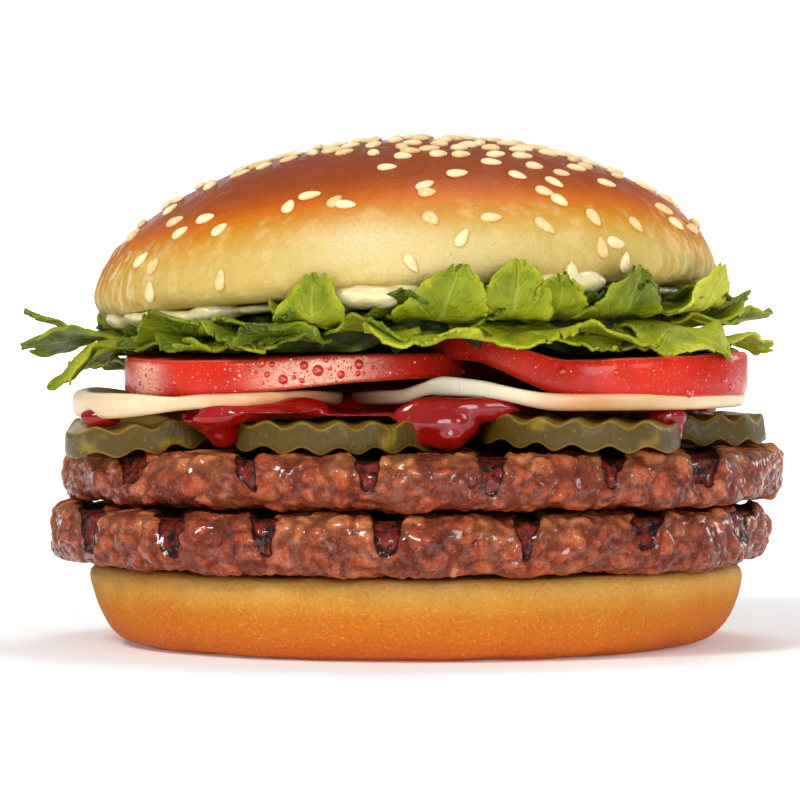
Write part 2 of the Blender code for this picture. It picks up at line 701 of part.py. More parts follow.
def leaf_point(leaf, along, across):
    """A point of a leaf's middle surface: along from root to tip, across from -1 to 1."""
    outward = height = 0.0
    steps = max(1, round(12 * along))
    for step in range(steps):
        heading = leaf_heading(leaf, (step + 0.5) / steps * along)
        outward += math.cos(heading) * leaf.length * along / steps
        height += math.sin(heading) * leaf.length * along / steps
    heading = leaf_heading(leaf, along)
    roll = math.radians(leaf.roll * along)
    half_width = leaf.width / 2 * (0.75 + 0.5 * math.sin(math.pi * along ** 0.8) - 0.42 * along ** 3)
    side = across * half_width
    ripple = abs(across) ** 1.4 * math.sin(2 * math.pi * (1.3 * along + 0.3 * across) + leaf.phase)
    frill = leaf.ruffle * smooth(0.1 + 2 * along) * (ripple + 0.35 * math.sin(3 * across + leaf.phase))
    lift = frill + side * math.sin(roll)
    sideways = side * math.cos(roll) + leaf.sway * along
    outward += -math.sin(heading) * lift
    height += math.cos(heading) * lift
    turn = math.radians(leaf.azimuth)
    away = Vector((math.sin(turn), -math.cos(turn), 0))
    beside = Vector((math.cos(turn), math.sin(turn), 0))
    return away * (leaf.reach + outward) + beside * sideways + Vector((0, 0, leaf.height + height))


def leaf_solid(name, leaf, thickness, group):
    """A thin wavy leaf with both faces split into triangles alike."""
    builder = bmesh.new()
    bmesh.ops.create_grid(builder, x_segments=LEAF_CELLS_ALONG, y_segments=LEAF_CELLS_ACROSS, size=1)
    bmesh.ops.triangulate(builder, faces=builder.faces)
    for vertex in builder.verts:
        vertex.co = leaf_point(leaf, (vertex.co.x + 1) / 2, vertex.co.y)
    obj = new_object(name, mesh_of(builder, name), group)
    wall = obj.modifiers.new("Wall", "SOLIDIFY")
    wall.thickness = thickness
    wall.offset = 0
    bake(obj)
    return obj


def leaves_behind():
    """The leaves of the far side, in the mix of sizes and curls that the front shows."""
    draw = random.Random(LEAF_SEED)
    step = (BEHIND_TO - BEHIND_FROM) / (LEAVES_BEHIND - 1)
    made = []
    for number in range(LEAVES_BEHIND):
        azimuth = BEHIND_FROM + number * step + draw.uniform(-4, 4)
        seat = crown_underside(*round_about(azimuth, 46, 0).xy)
        rises = number % 3 == 1
        pitch, curl = (14, draw.uniform(66, 82)) if rises else (draw.uniform(-10, 2), draw.uniform(-28, 16))
        height = seat - (3.4 if rises else 5.0)
        length, width, roll = draw.uniform(14, 18), draw.uniform(10, 15), draw.uniform(-12, 12)
        sway, ruffle = draw.uniform(-3, 4), 0.5 if rises else draw.uniform(0.9, 1.5)
        phase = draw.uniform(0, 6)
        made.append(Leaf(azimuth, 43.5, height, length, width, pitch, curl, roll, sway, ruffle, phase))
    return made


def settle(leaf, neighbours, group):
    """The leaf moved up, down or outward by the least that keeps it clear of its neighbours, or None."""
    moves = [(lift * 0.4, out * 1.5) for lift in range(-6, 7) for out in range(0, 3)]
    for lift, out in sorted(moves, key=lambda move: abs(move[0]) + move[1]):
        tried = leaf._replace(height=leaf.height + lift, reach=leaf.reach + out)
        margin = leaf_solid("margin", tried, LEAF_THICKNESS + 2 * GAP, group)
        margin.data.transform(Matrix.Scale(MM, 4))
        crosses = neighbours.overlap(tree_of(margin))
        bpy.data.objects.remove(margin)
        if not crosses:
            return tried
    return None


def lettuce(parts, below, above):
    """The salad: its core with the leaves that show fused on. A leaf that has no room is left out."""
    neighbours = tree_of(*below, *above)
    group = collection("leaves")
    core = lettuce_core(tree_of(*below), tree_of(*above), parts)
    for number, leaf in enumerate([*FRONT_LEAVES, *leaves_behind()]):
        settled = settle(leaf, neighbours, group)
        if settled:
            leaf_solid(f"leaf_{number}", settled, LEAF_THICKNESS, group)
    boolean(core, "UNION", "MANIFOLD", group=group)
    remove_all(group)
    return place(keep_largest_piece(core), finish("lettuce", rgb(0.30, 0.45, 0.06), 0.4))


def main():
    """Builds the burger from the heel up."""
    clear_scene()
    parts = collection("double_burger")
    parts.objects.link(bpy.data.objects.new("burger", None))
    heel_bun(parts)
    patty("patty_lower", PATTY_LOWER_THICKNESS, LOWER_PATTY_BASE, -1.0, 1, parts)
    patty("patty_upper", PATTY_UPPER_THICKNESS, UPPER_PATTY_BASE, 1.2, 2, parts)
    for name, chip in PICKLES.items():
        pickle(name, chip, parts)
    ketchup(parts)
    onions = [onion(name, ring, parts) for name, ring in ONIONS.items()]
    tomatoes = [tomato(name, cut, parts) for name, cut in TOMATOES.items()]
    crown = crown_bun(parts)
    mayo = mayonnaise(parts)
    lettuce(parts, [*onions, *tomatoes], [crown, mayo])


main()
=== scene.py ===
"""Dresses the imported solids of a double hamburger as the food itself, and lights it on a pale floor.

Sizes in the code are millimetres, unless a comment says metres. points_of and set_points turn the meshes'
metres to millimetres and back. The front faces -Y and +Z is up.
"""

import itertools
import math
import random

import bpy
import numpy
from mathutils import Matrix, Vector
from mathutils.bvhtree import BVHTree


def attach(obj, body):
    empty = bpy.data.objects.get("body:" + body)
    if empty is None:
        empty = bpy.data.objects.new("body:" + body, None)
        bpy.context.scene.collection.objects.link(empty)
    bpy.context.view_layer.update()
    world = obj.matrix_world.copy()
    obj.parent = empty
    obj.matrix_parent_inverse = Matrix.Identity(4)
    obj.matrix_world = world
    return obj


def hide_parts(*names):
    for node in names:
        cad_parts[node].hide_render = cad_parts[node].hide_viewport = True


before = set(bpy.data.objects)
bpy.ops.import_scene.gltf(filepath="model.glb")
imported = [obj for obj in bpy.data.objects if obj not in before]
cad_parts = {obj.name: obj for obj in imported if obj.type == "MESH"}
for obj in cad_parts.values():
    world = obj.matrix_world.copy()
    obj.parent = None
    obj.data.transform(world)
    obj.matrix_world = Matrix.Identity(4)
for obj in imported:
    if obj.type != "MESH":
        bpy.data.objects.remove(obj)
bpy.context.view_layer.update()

bl_info = {
    "name": "Double hamburger",
    "version": (1, 0, 0),
    "blender": (4, 5, 0),
    "location": "View3D > Sidebar > Hamburger",
    "description": "Builds the foods of a double hamburger around its solids",
    "category": "Add Mesh",
}

MM = 0.001

# The layers of the solids, in millimetres
GAP = 0.3
HEEL_RADIUS, HEEL_HEIGHT = 54.0, 13.3
PATTY_RADIUS = 58.8
PATTIES = {
    "patty_lower": {"thickness": 9.9, "base": 13.6, "x": -1.0, "draw": 1},
    "patty_upper": {"thickness": 9.0, "base": 23.8, "x": 1.2, "draw": 2},
}
PICKLE_THICKNESS, PICKLE_BASE, SOLID_WAVE, WAVE_PITCH = 4.0, 33.1, 0.42, 5.6
ONION_HEIGHT, ONION_WALL, ONION_BASE = 2.3, 3.4, 39.24
TOMATO_BASE, TOMATO_MIDDLE = 41.84, 44.84
BEND_FROM, BEND_OVER = 25.0, 17.0
SAG, SAG_FROM, SAG_OVER = 1.2, 32.0, 25.0
HUMP, HUMP_AT, HUMP_SPREAD = 0.9, 3.0, 22.0
LETTUCE_RADIUS = 43.5
MAYO_FILM = 1.2
CROWN_RADIUS, CROWN_HEIGHT, CROWN_EDGE_HEIGHT, CROWN_TUCK = 51.0, 27.0, 3.5, 3.6
CROWN_MIDDLE = Vector((-1.5, 0.0, 55.6))
CROWN_ROLL, CROWN_PITCH = math.radians(-3.4), math.radians(-2.8)

# Where the fronts of the slices, the rings and the ketchup depart from the solids, to follow the photograph.
# KETCHUP_IN and KETCHUP_DOWN are shares of the way
LEFT_SLICE_UP, LEFT_SLICE_RISE = 0.3, 1.1
RIGHT_SLICE_ABOVE, RIGHT_SLICE_BELOW = 0.7, 0.5
LEFT_RING_FORWARD, LEFT_RING_UP = 5.5, 1.3
RIGHT_RING_UP, RIGHT_RING_THICKER = 1.5, 0.8
KETCHUP_IN, KETCHUP_DOWN, KETCHUP_DOWN_FROM = 0.75, 0.8, 38.7

# The camera, and how pixels of the photograph measure the plane through the middle of the burger
CAMERA_AT = Vector((-2.5, -850.0, 62.0))
CAMERA_AIM = Vector((-2.5, 0.0, 39.8))
CAMERA_LENS, CAMERA_SENSOR = 231.8, 36
PIXELS_PER_MM, COLUMN_AHEAD, ROW_LEVEL = 6.06, 400, 265

# The point that the studio's lamps face, and each one's place and side in metres, and watts
LAMPS_AIM = Vector((0, 0, 0.04))
LAMPS = {
    "key_light": ((-0.42, -0.62, 0.62), 0.22, 4.6),
    "front_light": ((0.2, -1.0, 0.2), 0.3, 3.0),
    "fill_light": ((0.6, -0.7, 0.24), 0.2, 1.0),
    "top_light": ((0.1, 0.2, 0.8), 0.3, 1.8),
    "rim_light": ((0.7, 0.5, 0.3), 0.3, 1.4),
}
WORLD_LIGHT = 0.35
# The floor turns from shaded to plain white between these distances from the middle, in metres
FLOOR_SHADED, FLOOR_WHITE = 0.09, 0.34

# Where the grill's bars have charred each patty: millimetres to the side of the middle
CHAR_MARKS = {
    "patty_upper": (-45.5, -26.5, -7.4, 11.8, 30.6, 45.6),
    "patty_lower": (-52.0, -38.9, -23.8, -4.4, 17.2, 36.4, 53.0),
}

# Pickle chips: x, y, radius, tilt about x and y in degrees, turn of the ridges in degrees, lift
PICKLES = {
    "pickle_front_left": (-42.0, -22.0, 14.5, 5.0, -7.0, 14, -0.04),
    "pickle_front_middle": (-12.8, -37.2, 15.7, 1.5, 0.0, 3, 0.0),
    "pickle_front_right": (26.0, -36.6, 15.7, 1.5, 2.5, -6, 0.3),
    "pickle_right": (43.6, -8.4, 13.6, 0.0, 1.0, 24, 0.0),
    "pickle_back_right": (32.0, 27.5, 15.2, -1.0, 1.0, -40, 0.0),
    "pickle_back": (-2.0, 41.0, 15.0, -1.5, 0.0, 10, 0.0),
    "pickle_back_left": (-35.0, 23.0, 15.4, -1.0, -1.5, 55, 0.0),
}
# Onion rings: x, y, radius, rise, droop, phase of the sag
ONIONS = {
    "onion_ring_left": (-33.5, -20.0, 22.0, 1.8, 0.4, 3.6),
    "onion_ring_right": (21.3, -14.5, 32.3, 0.8, 0.2, 5.6),
    "onion_ring_back": (-8.0, 33.0, 23.0, 0.8, 0.2, 1.6),
}
# Tomato slices: x, y, radius, thickness, thinner by at the left, thinner by at the right, rise, seed
TOMATOES = {
    "tomato_left": (-19.5, -17.0, 27.8, 6.2, 0.0, 2.6, 0.0, 3),
    "tomato_right": (27.5, -18.5, 26.2, 5.6, 1.8, 0.0, 4.4, 5),
    "tomato_back": (4.5, 31.5, 24.8, 6.2, 0.0, 0.6, 0.0, 9),
}

# Cells of a leaf's mesh from its root to its tip, and from side to side
LEAF_CELLS_ALONG, LEAF_CELLS_ACROSS = 34, 24
# Lettuce leaves: azimuth from the front towards +X, reach, height, length, width, pitch, curl, roll, sway,
# ruffle, phase, tone
FRONT_LEAVES = (
    (-84, 41, 50.2, 24, 17, 2, -10, 10, -2, 1.3, 0.2, 0.35),
    (-88, 45, 50.2, 20, 3.4, 4, 20, 0, 2, 0.2, 0.0, 0.45),
    (-72, 44, 49.8, 21, 13, -3, -42, 8, 2, 1.5, 1.1, 0.55),
    (-52, 42, 50.6, 15, 15, 4, 28, 12, 4, 1.2, 2.0, 0.4),
    (-36, 42, 51.4, 14, 14, -2, -6, -14, 3, 1.2, 3.3, 0.5),
    (-24, 43, 51.2, 15, 12, -6, 16, 10, -3, 1.5, 0.7, 0.3),
    (-20, 45, 52.4, 14.5, 10, 8, 80, 0, 3, 0.6, 4.1, 0.6),
    (-10, 43, 52.2, 13, 12, -4, 12, -12, 4, 1.2, 2.6, 0.45),
    (4, 44, 51.8, 13, 17, -4, -12, 0, -3, 1.2, 5.2, 0.75),
    (2, 45, 53.4, 15.5, 12, 6, 78, -16, 5, 0.6, 3.0, 0.55),
    (16, 45, 53.6, 16, 11, 6, 82, 0, 1, 0.6, 1.4, 0.65),
    (20, 43, 52.6, 15, 13, -8, -10, 10, 2, 1.1, 0.3, 0.7),
    (27, 45, 53.6, 14, 9, 12, 52, 0, -3, 0.7, 2.2, 0.6),
    (36, 43, 52.2, 15, 13, -8, -8, -8, 4, 1.2, 4.6, 0.75),
    (38, 45, 53.8, 14.5, 13, 6, 74, 8, 2, 0.8, 5.9, 0.45),
    (50, 46, 53.0, 17, 15, -12, -26, 4, 3, 1.4, 1.9, 0.7),
    (62, 45, 54.4, 14, 10, 6, 76, 0, 3, 0.6, 3.7, 0.95),
    (73, 43, 53.2, 14.5, 13, 4, 30, 14, 2, 1.0, 0.9, 0.5),
    (84, 43, 50.2, 16, 12, -2, -8, -6, 4, 1.2, 2.9, 0.85),
)
# Leaves that hang low between the larger ones at the front
LOW_LEAVES = (
    (-63, 42, 50.4, 12, 13, -4, -10, 6, 2, 1.0, 1.9, 0.3),
    (-45, 42, 50.6, 12, 13, -4, -8, -6, -2, 0.9, 4.4, 0.45),
    (-29, 42, 50.8, 12, 13, -3, -8, 4, 2, 0.8, 0.4, 0.35),
    (31, 42, 51.5, 12, 15, -7, -16, 4, 1, 0.9, 3.1, 0.6),
    (46, 42, 50.9, 12, 15, -6, -14, -5, -2, 0.9, 0.8, 0.5),
    (64, 42, 49.4, 13, 14, -6, -8, 0, 0, 0.8, 2.0, 0.55),
    (79, 41, 49.2, 12, 13, -5, -6, 4, 1, 0.8, 4.0, 0.7),
    (70, 43, 52.6, 12, 13, 1, 4, -6, 2, 0.9, 5.1, 0.6),
)
# The larger leaves of the back, and the azimuths of its low ones
BACK_LEAVES = (
    (95.6, 43.5, 53.2, 15.9, 12.5, -3.3, 12.7, 2.1, -1.7, 1.2, 3.8, 0.6),
    (113.4, 45, 53.9, 15.2, 10.5, 14, 67.5, 7.4, 1.9, 0.5, 0.25, 0.5),
    (130, 43.5, 51.3, 16.5, 10.8, 1.6, 0.8, -11.6, 0.7, 0.9, 1.1, 0.75),
    (139.2, 43.5, 50.8, 15.8, 14.2, -9.6, -7.6, 0.5, 1.5, 1.2, 4.0, 0.45),
    (156, 43.5, 49.3, 18, 15, 14, 70.5, 8.2, 2.0, 0.5, 1.9, 0.6),
    (169, 43.5, 50.9, 14, 11, -4, -12, 4, 1.0, 1.2, 2.4, 0.8),
    (182.5, 45, 50.7, 15.9, 14.9, -7.5, 12.1, -2.5, -2.5, 1.3, 4.7, 0.5),
    (199.8, 45, 49.3, 15.3, 14.8, 14, 67.4, 6.2, -2.2, 0.5, 1.5, 0.35),
    (213.5, 43.5, 47.3, 14.7, 12.8, -9.3, 7.1, -1.3, -1.7, 1.3, 0.8, 0.7),
    (233, 43.5, 47.2, 14.9, 11.4, -8.6, -9.5, 11.3, 2.6, 1.1, 5.3, 0.55),
    (244.6, 43.5, 47.3, 17.4, 13.2, 14, 72.3, -9.6, 3.9, 0.5, 1.3, 0.4),
    (260.1, 43.5, 47.6, 15.2, 10.4, -0.7, -13.5, -9.8, 1.1, 1.0, 3.6, 0.65),
)
LOW_BACK_LEAVES = range(97, 268, 13)

# Sesame seeds that the photograph shows: pixel column, pixel row, and turn on the crust in degrees
SEEDS_SEEN = (
    (142, 260, 50), (154, 266, 60), (151, 292, 80), (176, 222, 30), (181, 233, 45), (206, 219, 20),
    (220, 230, 55), (221, 280, 85), (289, 207, 95), (310, 196, 20), (335, 202, 60), (346, 205, -5),
    (387, 168, 10), (403, 157, 0), (410, 152, 0), (425, 186, 35), (427, 193, 10), (431, 219, -50),
    (457, 174, 10), (459, 149, 5), (462, 238, 60), (491, 163, -15), (491, 218, 5), (411, 263, -55),
    (517, 176, -40), (534, 167, -20), (522, 157, -10), (544, 192, -40), (544, 226, -50), (554, 183, -70),
    (559, 201, -60), (561, 174, -20), (593, 218, -85), (606, 184, -30), (576, 169, -25), (601, 248, 85),
    (615, 243, -10), (635, 225, -75), (663, 210, -40), (675, 224, -60), (624, 262, 80),
)
# How many places are tried for the other seeds, and how far apart they lie on top and lower down
SEED_TRIES, SEED_GAP_ON_TOP, SEED_GAP = 4200, 3.5, 5.2

# The larger drops on the tomato: pixel column, pixel row, radius
TOMATO_DROPS = (
    (261, 362, 0.88), (291, 357, 0.62), (283, 379, 0.86), (304, 365, 0.75), (318, 370, 1.0), (326, 359, 0.55),
    (341, 374, 0.72), (341, 356, 0.66), (359, 364, 0.86), (272, 364, 0.5), (283, 360, 0.44), (267, 374, 0.53),
    (302, 380, 0.47), (248, 368, 0.38), (358, 373, 0.5), (364, 373, 0.34), (373, 367, 0.41),
    (294, 377, 0.41), (310, 356, 0.44), (275, 356, 0.34), (256, 372, 0.31), (330, 368, 0.39),
    (174, 383, 0.47), (192, 377, 0.41), (140, 383, 0.4), (146, 375, 0.34), (152, 369, 0.3),
    (135, 391, 0.36), (562, 371, 0.78), (616, 372, 0.55), (690, 393, 0.78), (731, 386, 0.62),
    (725, 380, 0.55),
)
# The radius up to which a drop is a bead, and how many beads are tried on the misted part of the left slice,
# at its left end and all along the sides
BEAD_RADIUS = 0.3
MIST_BEADS, END_BEADS, STRAY_BEADS = 900, 160, 420

# Lumps that melt into the ketchup: middle and half sizes. The first two fill the space between the chips and
# inside the onion rings
KETCHUP_LUMPS = (
    ((0.0, 0.0, 35.8), (38.5, 38.5, 2.6)), ((2.0, 0.0, 38.8), (29.0, 27.0, 4.5)),
    ((3.6, -42.6, 37.4), (6.2, 4.4, 3.4)), ((5.0, -43.6, 35.4), (3.2, 3.2, 2.6)),
    ((-30.8, -38.5, 37.6), (4.4, 3.6, 2.8)), ((-30.3, -39.5, 35.6), (2.6, 2.4, 2.4)),
    ((-26.5, -41.0, 39.4), (7.5, 4.4, 2.1)), ((-18.5, -42.0, 39.6), (5.0, 3.4, 1.8)),
    ((-50.2, -30.5, 37.9), (3.6, 2.6, 1.7)), ((39.8, -33.5, 38.0), (3.2, 2.6, 2.6)),
    ((40.6, -34.0, 35.4), (1.8, 1.8, 2.4)),
)
# Lumps that melt into the mayonnaise
MAYO_LUMPS = (
    ((-47.0, -12.0, 53.4), (3.4, 3.6, 1.8)), ((-43.5, -19.0, 53.8), (3.6, 3.6, 1.9)),
    ((-38.0, -27.0, 54.2), (4.0, 3.6, 1.9)), ((-31.5, -33.5, 54.7), (4.2, 3.4, 1.6)),
    ((-13.0, -45.0, 56.2), (5.0, 3.4, 1.7)), ((-7.5, -46.5, 57.2), (5.0, 3.4, 2.0)),
    ((-2.0, -46.5, 58.2), (4.4, 3.2, 1.6)), ((20.5, -42.5, 59.2), (4.2, 3.4, 2.0)),
    ((26.0, -40.5, 59.4), (4.2, 3.4, 2.1)), ((24.3, -44.3, 61.2), (1.0, 1.0, 1.9)),
)


def screen(red, green, blue):
    """The linear colour of a screen's red, green and blue from 0 to 255."""
    shares = [value / 255 for value in (red, green, blue)]
    return tuple(s / 12.92 if s <= 0.04045 else ((s + 0.055) / 1.055) ** 2.4 for s in shares)


def colour_setting(name, description, red, green, blue):
    """A colour that the sidebar shows, given as a screen's values."""
    return bpy.props.FloatVectorProperty(
        name=name, description=description, subtype="COLOR", size=3, min=0, max=1,
        default=screen(red, green, blue),
    )


def length_setting(name, description, millimetres):
    """A length that the sidebar shows, given in millimetres."""
    return bpy.props.FloatProperty(
        name=name, description=description, subtype="DISTANCE", unit="LENGTH", min=0, precision=5,
        default=millimetres * MM,
    )


class HamburgerSettings(bpy.types.PropertyGroup):
    """The sizes and colours of the foods."""

    crust_brown: colour_setting("Crown brown", "The well-baked top of the crown", 170, 76, 12)
    crust_gold: colour_setting("Crown gold", "The shoulder of the crown", 190, 118, 18)
    crust_pale: colour_setting("Crown pale", "The soft rim of the crown", 192, 165, 88)
    heel_gold: colour_setting("Heel gold", "The side of the heel", 200, 118, 28)
    heel_brown: colour_setting("Heel brown", "The heel's lower edge", 192, 94, 24)
    heel_crumb: colour_setting("Heel crumb", "The pale upper edge of the heel", 214, 168, 92)
    meat: colour_setting("Meat", "Grilled patty", 164, 72, 38)
    char: colour_setting("Char", "Marks of the grill's bars", 20, 8, 5)
    pickle_skin: colour_setting("Pickle skin", "The side of a pickle chip", 92, 70, 12)
    pickle_flesh: colour_setting("Pickle flesh", "The faces of a pickle chip", 146, 116, 32)
    ketchup: colour_setting("Ketchup", "Ketchup", 150, 8, 4)
    onion: colour_setting("Onion", "Raw onion", 222, 204, 162)
    tomato: colour_setting("Tomato", "Slices of tomato", 200, 38, 18)
    leaf_dark: colour_setting("Leaf dark", "The darkest green of the leaves", 66, 84, 12)
    leaf_light: colour_setting("Leaf light", "The palest green of the leaves", 194, 196, 62)
    mayonnaise: colour_setting("Mayonnaise", "Mayonnaise", 228, 214, 160)
    seed: colour_setting("Sesame seed", "Sesame seeds", 238, 214, 162)
    seed_length: length_setting("Seed length", "Length of a sesame seed", 3.5)
    seed_width: length_setting("Seed width", "Width of a sesame seed", 2.0)
    leaf_thickness: length_setting("Leaf thickness", "Thickness of a leaf of lettuce", 0.5)
    crinkle: length_setting("Crinkle", "Half the height of a pickle's ridges", 0.55)
    char_depth: length_setting("Char depth", "How far the grill's bars sank in", 1.0)
    floor_size: length_setting("Floor size", "Side of the square floor", 6000)


# Meshes

def settings():
    """The scene's hamburger settings."""
    return bpy.context.scene.hamburger


def select(*objects):
    """Selects these objects alone. The first becomes the active one."""
    bpy.ops.object.select_all(action="DESELECT")
    for obj in objects:
        obj.select_set(True)
    bpy.context.view_layer.objects.active = objects[0]


def new_piece(name):
    """Names the primitive that an operator has just added."""
    obj = bpy.context.object
    obj.name = obj.data.name = name
    return obj


def apply(obj, kind, **values):
    """Adds a modifier with these settings and applies it."""
    modifier = obj.modifiers.new(kind.title(), kind)
    for name, value in values.items():
        setattr(modifier, name, value)
    select(obj)
    bpy.ops.object.modifier_apply(modifier=modifier.name)


def points_of(obj):
    """The mesh's vertices in millimetres, one row each."""
    flat = numpy.empty(len(obj.data.vertices) * 3, numpy.float32)
    obj.data.vertices.foreach_get("co", flat)
    return flat.reshape(-1, 3).astype(float) / MM


def set_points(obj, points):
    """Moves the mesh's vertices to these points, in millimetres."""
    obj.data.vertices.foreach_set("co", (points * MM).astype(numpy.float32).ravel())
    obj.data.update()


def normals_of(obj):
    """The direction that each vertex of the mesh faces."""
    flat = numpy.empty(len(obj.data.vertices) * 3, numpy.float32)
    obj.data.vertices.foreach_get("normal", flat)
    return flat.reshape(-1, 3).astype(float)


def set_mark(obj, name, values):
    """Keeps a number for each vertex, which the material reads by this name."""
    layer = obj.data.attributes.new(name, "FLOAT", "POINT")
    layer.data.foreach_set("value", numpy.asarray(values, numpy.float32))


def smooth(share):
    """Eases shares of the way from 0 to 1, and holds them there outside."""
    share = numpy.clip(share, 0, 1)
    return share * share * (3 - 2 * share)


DRAW = numpy.random.RandomState(3)
SHUFFLED = DRAW.permutation(256)
CENTRES = DRAW.rand(256, 3)
SLOPES = DRAW.randn(256, 3)
SLOPES /= numpy.linalg.norm(SLOPES, axis=1)[:, None]


def drawn(table, cell):
    """What a table of random draws holds for each cell of a lattice."""
    key = SHUFFLED[cell[:, 0] & 255]
    key = SHUFFLED[(key + cell[:, 1]) & 255]
    return table[SHUFFLED[(key + cell[:, 2]) & 255]]


def noise_at(points, size, shift=(0, 0, 0)):
    """Smooth noise at each point, from about -1 to 1, with swells of this size in millimetres."""
    place = numpy.asarray(points, float) / size + numpy.array(shift, float)
    cell = numpy.floor(place).astype(int)
    part = place - cell
    eased = part ** 3 * (part * (part * 6 - 15) + 10)
    total = numpy.zeros(len(place))
    for corner in itertools.product((0, 1), repeat=3):
        weight = numpy.prod(numpy.where(corner, eased, 1 - eased), axis=1)
        total += weight * (drawn(SLOPES, cell + corner) * (part - corner)).sum(1)
    return total * 1.5


def noise_vectors_at(points, size):
    """A smooth random direction at each point."""
    return numpy.stack([noise_at(points, size, (0, 0, part * 31.7)) for part in range(3)], 1)


def cells_at(points, size, shift=0.0):
    """Distances to the nearest and the next nearest of scattered centres that lie about this size apart."""
    place = points / numpy.array(size, float) + shift
    cell = numpy.floor(place).astype(int)
    near = numpy.full(len(place), 9.0)
    far = near.copy()
    for step in itertools.product((-1, 0, 1), repeat=3):
        gap = numpy.linalg.norm(cell + step + drawn(CENTRES, cell + step) - place, axis=1)
        far = numpy.minimum(far, numpy.maximum(near, gap))
        near = numpy.minimum(near, gap)
    return near, far


def weld(obj):
    """Merges vertices that lie together."""
    select(obj)
    bpy.ops.object.mode_set(mode="EDIT")
    bpy.ops.mesh.select_all(action="SELECT")
    bpy.ops.mesh.remove_doubles(threshold=0.01 * MM)
    bpy.ops.object.mode_set(mode="OBJECT")


def round_body(name, profile, segments):
    """A closed body of revolution, from (radius, height) pairs that run from the top pole down."""
    bpy.ops.object.select_all(action="DESELECT")
    rows = len(profile) - 1
    bpy.ops.mesh.primitive_grid_add(x_subdivisions=segments, y_subdivisions=rows, size=2)
    obj = new_piece(name)
    grid = points_of(obj) * MM
    row = numpy.rint((1 - grid[:, 1]) / 2 * rows).astype(int)
    around = math.pi * grid[:, 0]
    radius, height = (part[row] for part in numpy.array(profile, float).T)
    set_points(obj, numpy.stack([radius * numpy.cos(around), radius * numpy.sin(around), height], 1))
    weld(obj)
    return obj


def rounded_profile(corners, rows):
    """The profile's corners spread into evenly spaced points, and eased between them."""
    corners = numpy.array(corners, float)
    along = numpy.concatenate([[0], numpy.cumsum(numpy.hypot(*numpy.diff(corners, axis=0).T))])
    wanted = numpy.linspace(0, along[-1], rows)
    points = numpy.stack([numpy.interp(wanted, along, part) for part in corners.T], 1)
    for _ in range(3):
        points[1:-1] = (points[:-2] + 2 * points[1:-1] + points[2:]) / 4
    return points.tolist()


def merged_copy(node, name):
    """A copy of a solid's mesh, with its loose triangles merged."""
    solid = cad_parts[node]
    obj = bpy.data.objects.new(name, solid.data.copy())
    bpy.context.scene.collection.objects.link(obj)
    obj.data.name = name
    weld(obj)
    return obj


def join(name, objects):
    """Joins objects into one piece."""
    select(*objects)
    bpy.ops.object.join()
    return new_piece(name)


def scatter(name, pattern, places):
    """One piece of many copies of the pattern. Each place is a matrix in millimetres and the copy's tone."""
    copies = []
    for matrix, tone in places:
        copy = bpy.data.objects.new(name, pattern.data.copy())
        bpy.context.scene.collection.objects.link(copy)
        copy.data.transform(Matrix.Scale(MM, 4) @ matrix @ Matrix.Scale(1 / MM, 4))
        set_mark(copy, "tone", numpy.full(len(copy.data.vertices), tone))
        copies.append(copy)
    bpy.data.objects.remove(pattern)
    return join(name, copies)


def tree_of(*objects):
    """One search tree over the objects' meshes, in metres."""
    points, faces = [], []
    for obj in objects:
        start = len(points)
        points += [vertex.co.copy() for vertex in obj.data.vertices]
        faces += [[start + index for index in polygon.vertices] for polygon in obj.data.polygons]
    return BVHTree.FromPolygons(points, faces)


def photo_ray(column, row):
    """The line of sight through a pixel of the photograph, in metres."""
    across = CAMERA_AT.x + (column - COLUMN_AHEAD) / PIXELS_PER_MM
    up = CAMERA_AT.z - (row - ROW_LEVEL) / PIXELS_PER_MM
    return CAMERA_AT * MM, (Vector((across, 0, up)) - CAMERA_AT).normalized()


def lying(point, normal, turn, sunk=0.0):
    """The matrix that lays a pattern on a surface at a point in millimetres, its z along the normal."""
    across = Vector((0, 0, 1)).cross(normal)
    across = across.normalized() if across.length > 0.05 else Vector((1, 0, 0))
    axes = Matrix((across, normal.cross(across), normal)).transposed()
    spun = (axes @ Matrix.Rotation(math.radians(turn), 3, "Z")).to_4x4()
    return Matrix.Translation(point - normal * sunk) @ spun


def dress(obj, paint, slot, *nodes):
    """Gives a finished piece its material and smooth shading, and hides the solids that it stands for. The
    slot is not used.
    """
    obj.data.materials.clear()
    obj.data.materials.append(paint.material)
    select(obj)
    bpy.ops.object.shade_smooth()
    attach(obj, "root")
    if nodes:
        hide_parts(*nodes)


# Materials

class Number:
    """A shader node's output, which adds, multiplies and so on as a number does."""

    def __init__(self, paint, socket):
        self.paint = paint
        self.socket = socket

    def sum(self, operation, first, second=0.0):
        """What a Math node makes of one or two numbers."""
        return self.paint.node("ShaderNodeMath", {"operation": operation}, {0: first, 1: second})

    def __add__(self, other):
        return self.sum("ADD", self, other)

    def __radd__(self, other):
        return self.sum("ADD", other, self)

    def __sub__(self, other):
        return self.sum("SUBTRACT", self, other)

    def __rsub__(self, other):
        return self.sum("SUBTRACT", other, self)

    def __mul__(self, other):
        return self.sum("MULTIPLY", self, other)

    def __rmul__(self, other):
        return self.sum("MULTIPLY", other, self)

    def __abs__(self):
        return self.sum("ABSOLUTE", self)

    def __mod__(self, other):
        return self.sum("FLOORED_MODULO", self, other)


